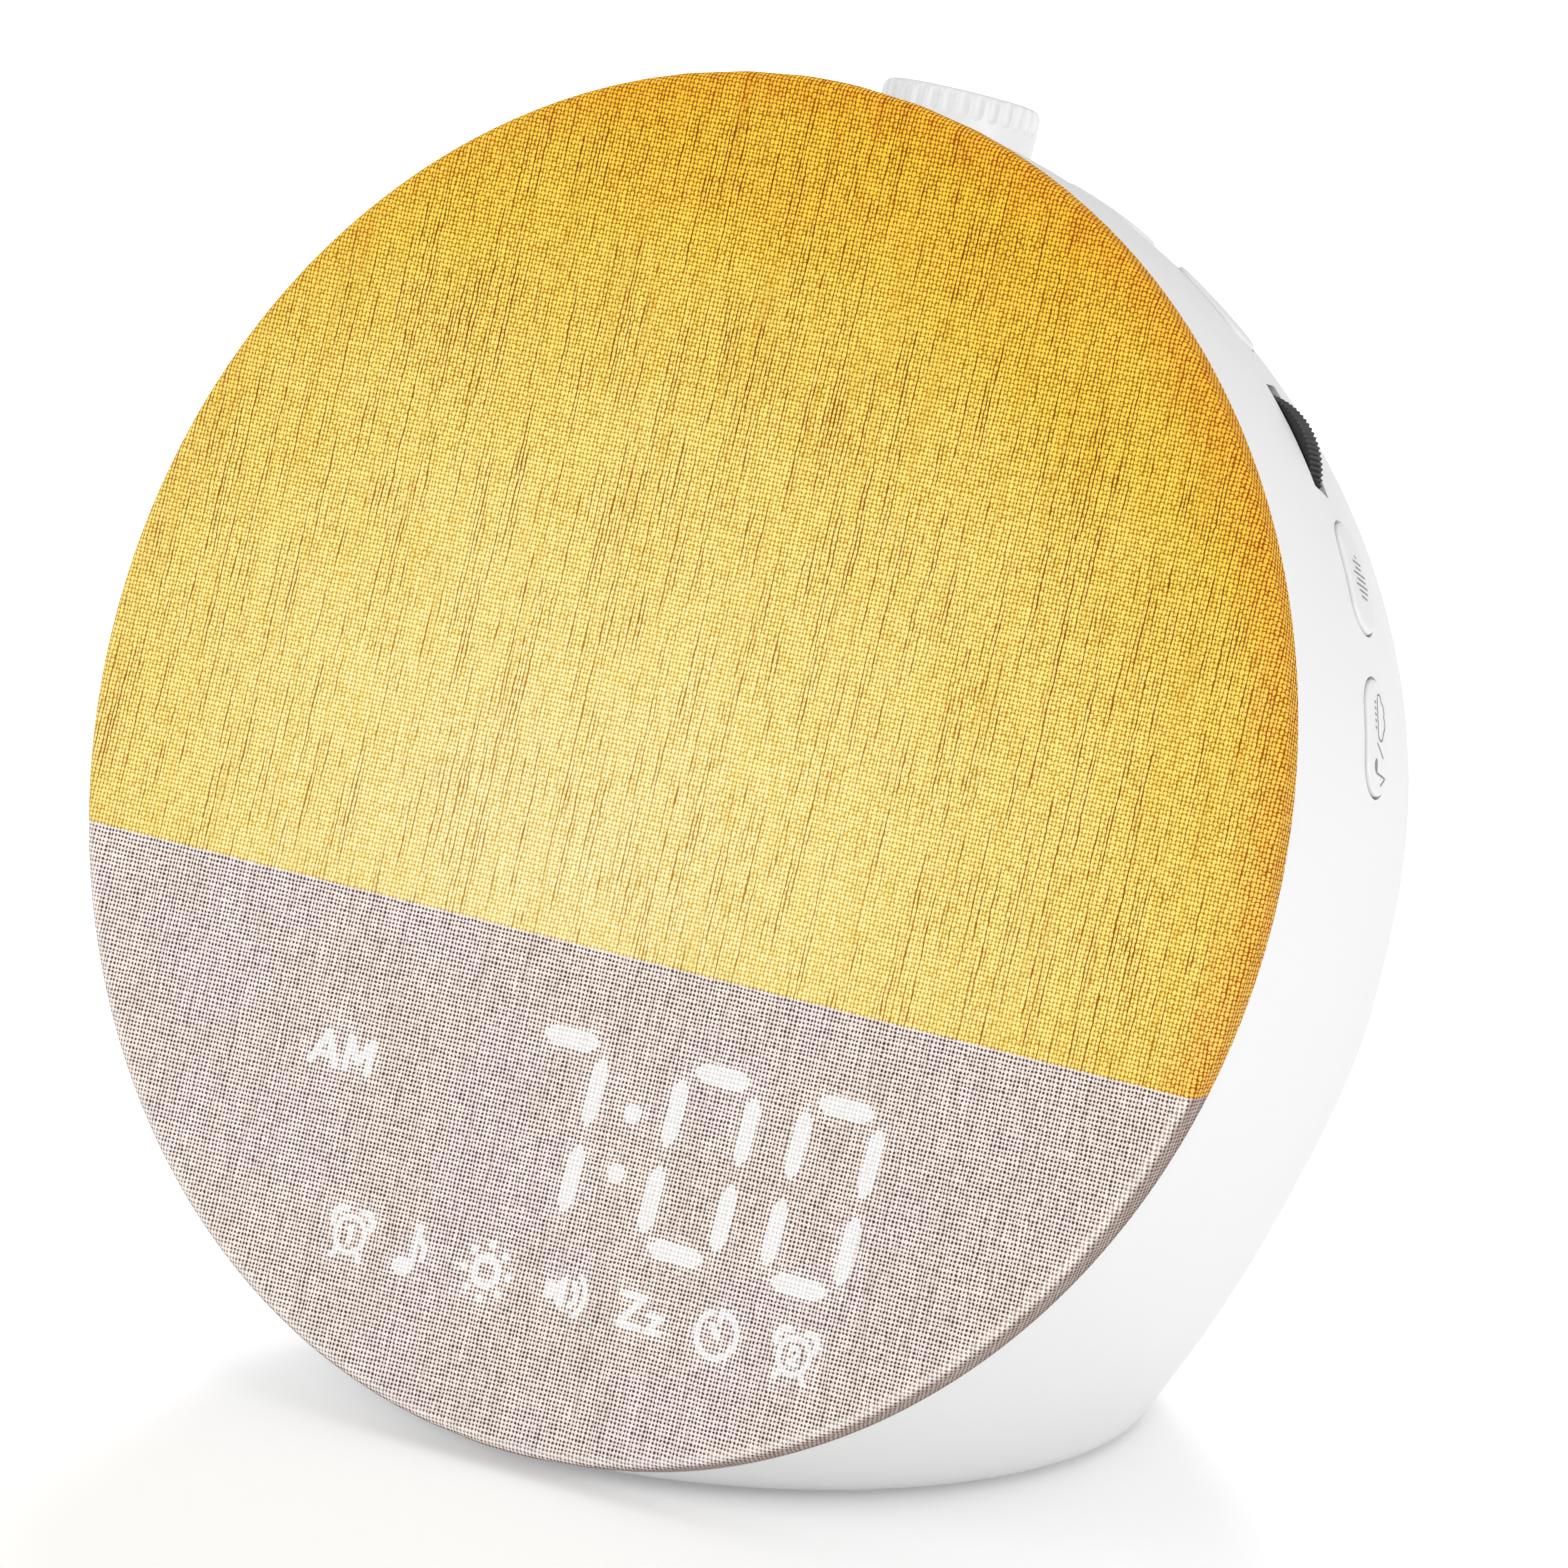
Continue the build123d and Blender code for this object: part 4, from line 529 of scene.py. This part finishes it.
def unlit_cloth(g, w):
    """Undyed linen, with a painted highlight on the rolled edge and painted shade on its side."""
    cloth = g.layered(
        g.mix(g.step(w.patch, 0.38, 0.62), srgb(254, 243, 240), srgb(255, 243, 234)),
        (g.step(w.streak, 0.45, 0.75, out_high=0.2), (206, 184, 170)),
        (g.step(w.warp_thick, 0.6, 0.38, out_high=0.28), (214, 196, 188)),
        (g.step(w.weft_thick, 0.6, 0.38, out_high=0.14), (210, 190, 184)),
        (g.step(w.fibre, 0.62, 0.35, out_high=0.25), (198, 178, 170)),
    )
    # painted shade where the threads dip low between each other
    cloth = g.mix(w.solid, srgb(160, 138, 130), cloth)
    shaded = g.math("ADD", w.painted_thread_light, g.scaled(w.chance, 0.12))
    # a painted highlight along the crest of the rolled edge
    rolled = g.math("MULTIPLY", g.step(w.run, FLAT_R - 0.3, FLAT_R + 0.3),
                    g.step(w.run, FLAT_R + 1.0, FLAT_R + 0.6, out_high=0.25))
    return g.layered(
        cloth,
        # painted shade: in the gaps between upright threads, on each thread's shaded flank, and darkest in the
        # pin-holes
        (g.scaled(w.seam, 0.35), (112, 92, 82)),
        (g.step(shaded, 0.75, 0.25, out_high=0.5), (150, 126, 118)),
        (g.scaled(w.hole, 0.93), (58, 44, 42)),
        (rolled, (255, 250, 244)),
        (g.step(w.run, FLAT_R + 0.7, FLAT_R + 1.5, out_high=0.6), (112, 90, 78)),   # painted shade on the side
        (g.step(w.run, FLAT_R + 2.8, FLAT_R + 3.8, out_high=0.4), (90, 70, 60)),    # and deeper painted shade at its end by the shell
    )


def lit_cloth(g, w):
    """Palest low in the middle of the lamp, deeper towards the top, and orange at the right-hand rim."""
    reach = g.hypot(g.scaled(g.math("ADD", w.u, 14.0), 0.68), g.math("ADD", w.v, 14.0))
    reach = g.math("DIVIDE", g.math("MULTIPLY_ADD", g.centred(w.patch), 18.0, reach), 90.0)

    def outward(*colours, places=(0.0, 0.3, 0.6, 0.82, 1.0)):
        return g.ramp(reach, [(place, srgb(*colour)) for place, colour in zip(places, colours)])

    bright = outward((255, 249, 200), (255, 246, 174), (255, 240, 138), (255, 228, 92), (255, 214, 62))
    middle = outward((242, 214, 118), (238, 204, 92), (226, 178, 50), (208, 148, 26), (194, 122, 14))
    deep = outward((206, 160, 50), (194, 140, 28), (160, 100, 4), (150, 84, 2), (128, 62, 0))
    gap_shade_tone = outward((186, 128, 16), (140, 66, 0), (122, 36, 0), places=(0.0, 0.6, 1.0))
    # painted light and shade on the threads over the lamp's glow, and painted shade in the pin-holes and the gaps
    # between threads
    lit = g.mix(g.step(w.painted_thread_light, 0.56, 0.96), middle, bright)
    lit = g.mix(g.step(w.painted_thread_light, 0.56, 0.2), lit, deep)
    lit = g.mix(g.scaled(w.hole, 0.4), lit, deep)
    lit = g.layered(lit, (g.step(w.fibre, 0.6, 0.85, out_high=0.3), (255, 248, 206)))
    lit = g.mix(g.step(w.streak, 0.46, 0.8, out_high=0.3), lit, middle)
    lit = g.mix(g.scaled(w.seam, 0.92), lit, gap_shade_tone)

    # the rim: a ragged band of painted shade, orange, strongest at the upper right, deepest between the threads
    lean = g.step(g.math("ADD", g.scaled(w.u, 0.8), g.scaled(w.v, 0.45)), -60.0, 60.0, out_low=0.25)
    ragged_run = g.math("MULTIPLY_ADD", g.centred(w.streak), 8.0, w.run)
    rim = g.math("MULTIPLY", g.step(ragged_run, FLAT_R - 5.8, FLAT_R + 1.7), lean)
    return g.layered(
        lit,
        (g.scaled(w.knot, 0.75), (170, 92, 8)),
        (g.scaled(rim, 0.28), (244, 160, 36)),
        (g.math("MULTIPLY", rim, g.step(w.painted_thread_light, 0.9, 0.4, out_high=0.85)), (156, 48, 0)),
        # painted shade on the side of the rolled edge
        (g.step(w.run, FLAT_R + 1.1, FLAT_R + 1.9, out_high=0.2), (150, 60, 0)),
    )


def linen_material():
    g = Graph.material("linen")
    w = weave(g)
    cloth, lit = unlit_cloth(g, w), lit_cloth(g, w)

    # above the divider the lamp shines through; below it the signs do, with a faint halo
    divide = g.math("MULTIPLY_ADD", g.centred(w.fibre), 0.35, w.v)
    upper = g.step(divide, DIVIDER_Y - 0.15, DIVIDER_Y + 0.15)
    sign = g.new("ShaderNodeAttribute", attribute_name="sign", attribute_type="GEOMETRY").outputs["Fac"]
    ragged = g.math("MULTIPLY_ADD", g.math("SUBTRACT", 0.6, w.height), 0.12, sign)
    inside = g.step(ragged, 0.14, -0.1)
    halo = g.scaled(g.step(sign, 2.0, -0.2), 0.07)

    # what shines is nearly black in the room's light; unlit cloth gets a trace of stray light
    shader = g.new("ShaderNodeBsdfPrincipled")
    unlit = g.mix(g.scaled(inside, 0.9), cloth, BLACK)
    g.put(shader.inputs["Base Color"], g.mix(upper, unlit, g.mix(0.86, lit, BLACK)))
    threads = g.mix(w.solid, srgb(250, 249, 248), srgb(255, 255, 254))
    sign_white = g.mix(w.hole, threads, srgb(232, 228, 226))
    glow = g.mix(g.math("ADD", inside, halo, clamp=True), g.mix(0.78, cloth, BLACK), sign_white)
    g.put(shader.inputs["Emission Color"], g.mix(upper, glow, lit))
    g.put(shader.inputs["Normal"], g.bump(w.height, 0.00018))
    for key, value in (("Emission Strength", GLOW), ("Roughness", 0.9), ("Specular IOR Level", 0.12),
                       ("Sheen Weight", 0.04), ("Sheen Roughness", 0.5)):
        shader.inputs[key].default_value = value
    return g.surface(shader.outputs[0])


linen = build_linen(linen_material())
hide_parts("fabric_cover")
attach(linen, "case")


# ------------------------------------------------------------------ materials of the CAD pieces
satin = plastic("satin_white", srgb(244, 244, 244), 0.42, mottle=0.01, Specular_IOR_Level=0.45)
dress(satin, "rear_shell")
control_white = plastic("control_white", srgb(240, 240, 241), 0.36, mottle=0.01)
dress(control_white, "knob_cap", "alarm_one_button", "alarm_two_button", "light_button", "sound_button")
dress(plastic("charcoal", srgb(38, 38, 40), 0.45, grain=1500.0, mottle=0.15), "volume_wheel")
dress(plastic("base_grey", srgb(226, 226, 225), 0.6, grain=1400.0, depth=0.00004, mottle=0.04), "base_plate")
dress(plastic("inner_grey", srgb(214, 214, 212), 0.55, mottle=0.05),
      "front_frame", "chassis", "display_housing", "cell_holder")
dress(plastic("milky", srgb(240, 240, 236), 0.4, mottle=0.02, Subsurface_Weight=0.3),
      "light_diffuser", "display_window", "display_guides")
dress(plastic("bright_white", srgb(250, 250, 248), 0.3, mottle=0.01), "reflector")
dress(plastic("printed_black", srgb(22, 22, 22), 0.5, mottle=0.2), "display_mask")
dress(plastic("solder_mask", srgb(24, 84, 46), 0.35, grain=2500.0, mottle=0.35, Coat_Weight=0.3),
      "light_board", "display_board", "control_board", "encoder_board", "main_board")
dress(plastic("led_lens", srgb(246, 226, 150), 0.2, mottle=0.1), "light_leds", "display_leds")
dress(plastic("component_black", srgb(30, 30, 32), 0.45, grain=1800.0, depth=0.00003, mottle=0.2),
      "switch_bodies", "volume_pot", "encoder_body", "main_chips", "capacitors", "power_jack",
      "alarm_one_switch_plunger", "alarm_two_switch_plunger", "light_switch_plunger", "sound_switch_plunger")
dress(plastic("connector_white", srgb(228, 222, 206), 0.5, mottle=0.08), "connectors")
dress(metal("zinc", srgb(188, 188, 192), 0.34), "small_screws", "base_screws", "wheel_screw", "speaker_basket",
      "speaker_magnet", "backup_cell")
dress(metal("brass", srgb(214, 184, 116), 0.3), "encoder_shaft", "encoder_pin", "wheel_spindle", "jack_pin")
dress(plastic("cone_paper", srgb(34, 34, 35), 0.8, grain=600.0, depth=0.00008, mottle=0.3), "speaker_cone")
dress(plastic("soft_rubber", srgb(46, 46, 47), 0.75, grain=1200.0, depth=0.00004, mottle=0.2),
      "rubber_feet", "speaker_gasket")


# ------------------------------------------------------------------ printed signs on two buttons
CONTROL_DEPTH = 24.0        # of the middle of the rim controls, behind the front
BUTTON_ANGLES = {"light_button": 60.7, "sound_button": 74.2}   # degrees clockwise from the top
OUTSIDE_R, INSIDE_R = 90.0, 60.0   # the signs drop on the buttons on a line from the one to the other
INK_STEP = 0.25             # a stroke's parts are at least this long
INK_HALF = 0.13             # half the width of a stroke
INK_PROUD = 0.02            # above the button's surface
ARC_STEPS = 8


def rim_point(angle, radius, depth):
    a = math.radians(angle)
    return Vector(to_frame(radius * math.sin(a), radius * math.cos(a), depth))


def fine_points(corners):
    """The points of a broken line, with more between its corners."""
    points = []
    for (s1, t1), (s2, t2) in zip(corners, corners[1:]):
        steps = max(2, int(math.hypot(s2 - s1, t2 - t1) / INK_STEP))
        points += [(s1 + (s2 - s1) * i / steps, t1 + (t2 - t1) * i / steps) for i in range(steps)]
    return [*points, corners[-1]]


def printed(name, node, body, lines):
    """Thin printed strokes on a button; lines are in millimetres along the rim and towards the back."""
    surface = BVHTree.FromObject(bpy.data.objects[node], bpy.context.evaluated_depsgraph_get())
    angle = BUTTON_ANGLES[node]
    start = rim_point(angle, OUTSIDE_R, CONTROL_DEPTH)
    up = (start - rim_point(angle, INSIDE_R, CONTROL_DEPTH)).normalized()
    along = (rim_point(angle + 0.5, FACE_R, CONTROL_DEPTH)
             - rim_point(angle - 0.5, FACE_R, CONTROL_DEPTH)).normalized()
    back = (rim_point(angle, FACE_R, CONTROL_DEPTH + 1) - rim_point(angle, FACE_R, CONTROL_DEPTH)).normalized()
    bm = bmesh.new()

    def drop(s, t):
        """A new point just above the button, or None beside it."""
        hit, normal, _, _ = surface.ray_cast(start + along * s * MM + back * t * MM, -up)
        return None if hit is None else hit + normal * INK_PROUD * MM

    for corners in lines:
        points = fine_points(corners)
        previous = None
        for i, (s, t) in enumerate(points):
            before, after = points[max(0, i - 1)], points[min(len(points) - 1, i + 1)]
            ds, dt = after[0] - before[0], after[1] - before[1]
            length = math.hypot(ds, dt) or 1.0
            ns, nt = -dt / length * INK_HALF, ds / length * INK_HALF
            left, right = drop(s + ns, t + nt), drop(s - ns, t - nt)
            if left is None or right is None:
                previous = None
                continue
            pair = (bm.verts.new(left), bm.verts.new(right))
            if previous:
                bm.faces.new((previous[0], pair[0], pair[1], previous[1]))
            previous = pair
    mesh = bpy.data.meshes.new(name)
    bm.to_mesh(mesh)
    bm.free()
    mesh.materials.append(ink)
    obj = bpy.data.objects.new(name, mesh)
    bpy.context.scene.collection.objects.link(obj)
    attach(obj, body)


def round_line(cx, cy, radius, start, end):
    """Points of an arc, between two angles in degrees."""
    angles = [math.radians(start + (end - start) * i / ARC_STEPS) for i in range(ARC_STEPS + 1)]
    return [(cx + radius * math.cos(a), cy + radius * math.sin(a)) for a in angles]


ink = plastic("grey_ink", srgb(146, 146, 149), 0.6, mottle=0.1)

# eight bars of uneven length, 0.7 mm apart, each leaning by 0.14 mm
BAR_ENDS = ((0.05, 0.73), (-0.88, 1.84), (-0.48, 1.37), (-1.54, 2.4), (-0.86, 2.1), (-1.5, 2.35), (-0.92, 1.97),
            (-0.57, 1.32))
light_lines = [[(0.7 * i - 2.5, low), (0.7 * i - 2.36, high)] for i, (low, high) in enumerate(BAR_ENDS)]
printed("light_sign", "light_button", "light_button", light_lines)

# cloud with its base and drops, a slash, and a note of head and stem
cloud = (round_line(-4.2, 0.4, 0.7, 230, 90) + round_line(-3.1, 1.2, 0.85, 160, 50)
         + round_line(-1.7, 1.35, 0.85, 125, 30) + round_line(-0.5, 0.5, 0.85, 80, -80))
base = [(-4.5, -0.15), (-3.8, -0.35), (-0.4, -0.35)]
drops = [[(s + 0.12, -0.8), (s - 0.12, -1.25)] for s in (-3.9, -3.2, -2.5, -1.8, -1.0)]
slash = [(0.7, -0.75), (2.2, 1.4)]
head = [[(3.3 - reach, t), (3.3 + reach, t)]
        for reach, t in ((0.5, -1.4), (0.75, -1.2), (0.85, -1.0), (0.75, -0.8))]
stem = [(4.1, -1.0), (4.4, 2.1), (5.4, 0.5)]
printed("sound_sign", "sound_button", "sound_button", [cloud, base, *drops, slash, *head, stem])


# ------------------------------------------------------------------ floor, world and lamps
FLOOR_SHINE = 0.23          # what the eye sees beyond the light that falls on the floor
WORLD_FILL = 0.6            # the world as a lamp; the eye sees it at 1


def build_floor():
    bm = bmesh.new()
    bmesh.ops.create_grid(bm, x_segments=8, y_segments=8, size=5.0)
    mesh = bpy.data.meshes.new("floor")
    bm.to_mesh(mesh)
    bm.free()
    g = Graph.material("floor")
    path = g.new("ShaderNodeLightPath")
    seen = g.math("ADD", path.outputs["Is Camera Ray"], path.outputs["Is Glossy Ray"])
    seen = g.math("ADD", seen, path.outputs["Is Transmission Ray"], clamp=True)
    diffuse = g.new("ShaderNodeBsdfDiffuse")
    cloud = g.noise(g.object_place(), scale=3.0)
    g.put(diffuse.inputs["Color"], g.mix(cloud, srgb(238, 238, 238), srgb(241, 241, 241)))
    shine = g.new("ShaderNodeEmission")
    g.put(shine.inputs["Color"], WHITE)
    g.put(shine.inputs["Strength"], g.scaled(seen, FLOOR_SHINE))
    both = g.new("ShaderNodeAddShader")
    g.put(both.inputs[0], diffuse.outputs[0])
    g.put(both.inputs[1], shine.outputs[0])
    mesh.materials.append(g.surface(both.outputs[0]))
    floor = bpy.data.objects.new("floor", mesh)
    bpy.context.scene.collection.objects.link(floor)
    return floor


def build_world():
    g = Graph(bpy.data.worlds.new("studio"), "ShaderNodeOutputWorld")
    path = g.new("ShaderNodeLightPath")
    blend = g.new("ShaderNodeMixShader")
    g.put(blend.inputs[0], g.math("MAXIMUM", path.outputs["Is Camera Ray"], path.outputs["Is Transmission Ray"]))
    for socket, strength in ((blend.inputs[1], WORLD_FILL), (blend.inputs[2], 1.0)):
        background = g.new("ShaderNodeBackground")
        g.put(background.inputs["Color"], WHITE)
        g.put(background.inputs["Strength"], strength)
        g.put(socket, background.outputs[0])
    return g.surface(blend.outputs[0])


floor = build_floor()
bpy.context.scene.world = build_world()


def softbox(name, place, target, size, energy):
    """A rectangular area lamp that the camera doesn't see."""
    data = bpy.data.lights.new(name, "AREA")
    data.shape = "RECTANGLE"
    data.size, data.size_y = size
    data.energy = energy
    lamp = bpy.data.objects.new(name, data)
    bpy.context.scene.collection.objects.link(lamp)
    lamp.location = place
    lamp.rotation_euler = (Vector(target) - Vector(place)).to_track_quat("-Z", "Y").to_euler()
    lamp.visible_camera = False
    return lamp


softbox("key", (1.35, -0.4, 0.35), target=(0.0, 0.0, 0.08), size=(0.8, 0.8), energy=7.3)
softbox("front", (-0.9, -1.15, 0.6), target=(0.0, 0.0, 0.08), size=(0.9, 0.7), energy=6.0)
softbox("overhead", (0.0, 0.1, 1.4), target=(0.0, 0.0, 0.05), size=(1.0, 1.0), energy=1.5)
# a lamp behind that only the floor receives, for the soft shadow in front
back = softbox("back", (-0.74, 1.13, 0.85), target=(0.0, 0.0, 0.0), size=(0.35, 0.35), energy=9.0)
only_floor = bpy.data.collections.new("only_floor")
only_floor.objects.link(floor)
back.light_linking.receiver_collection = only_floor
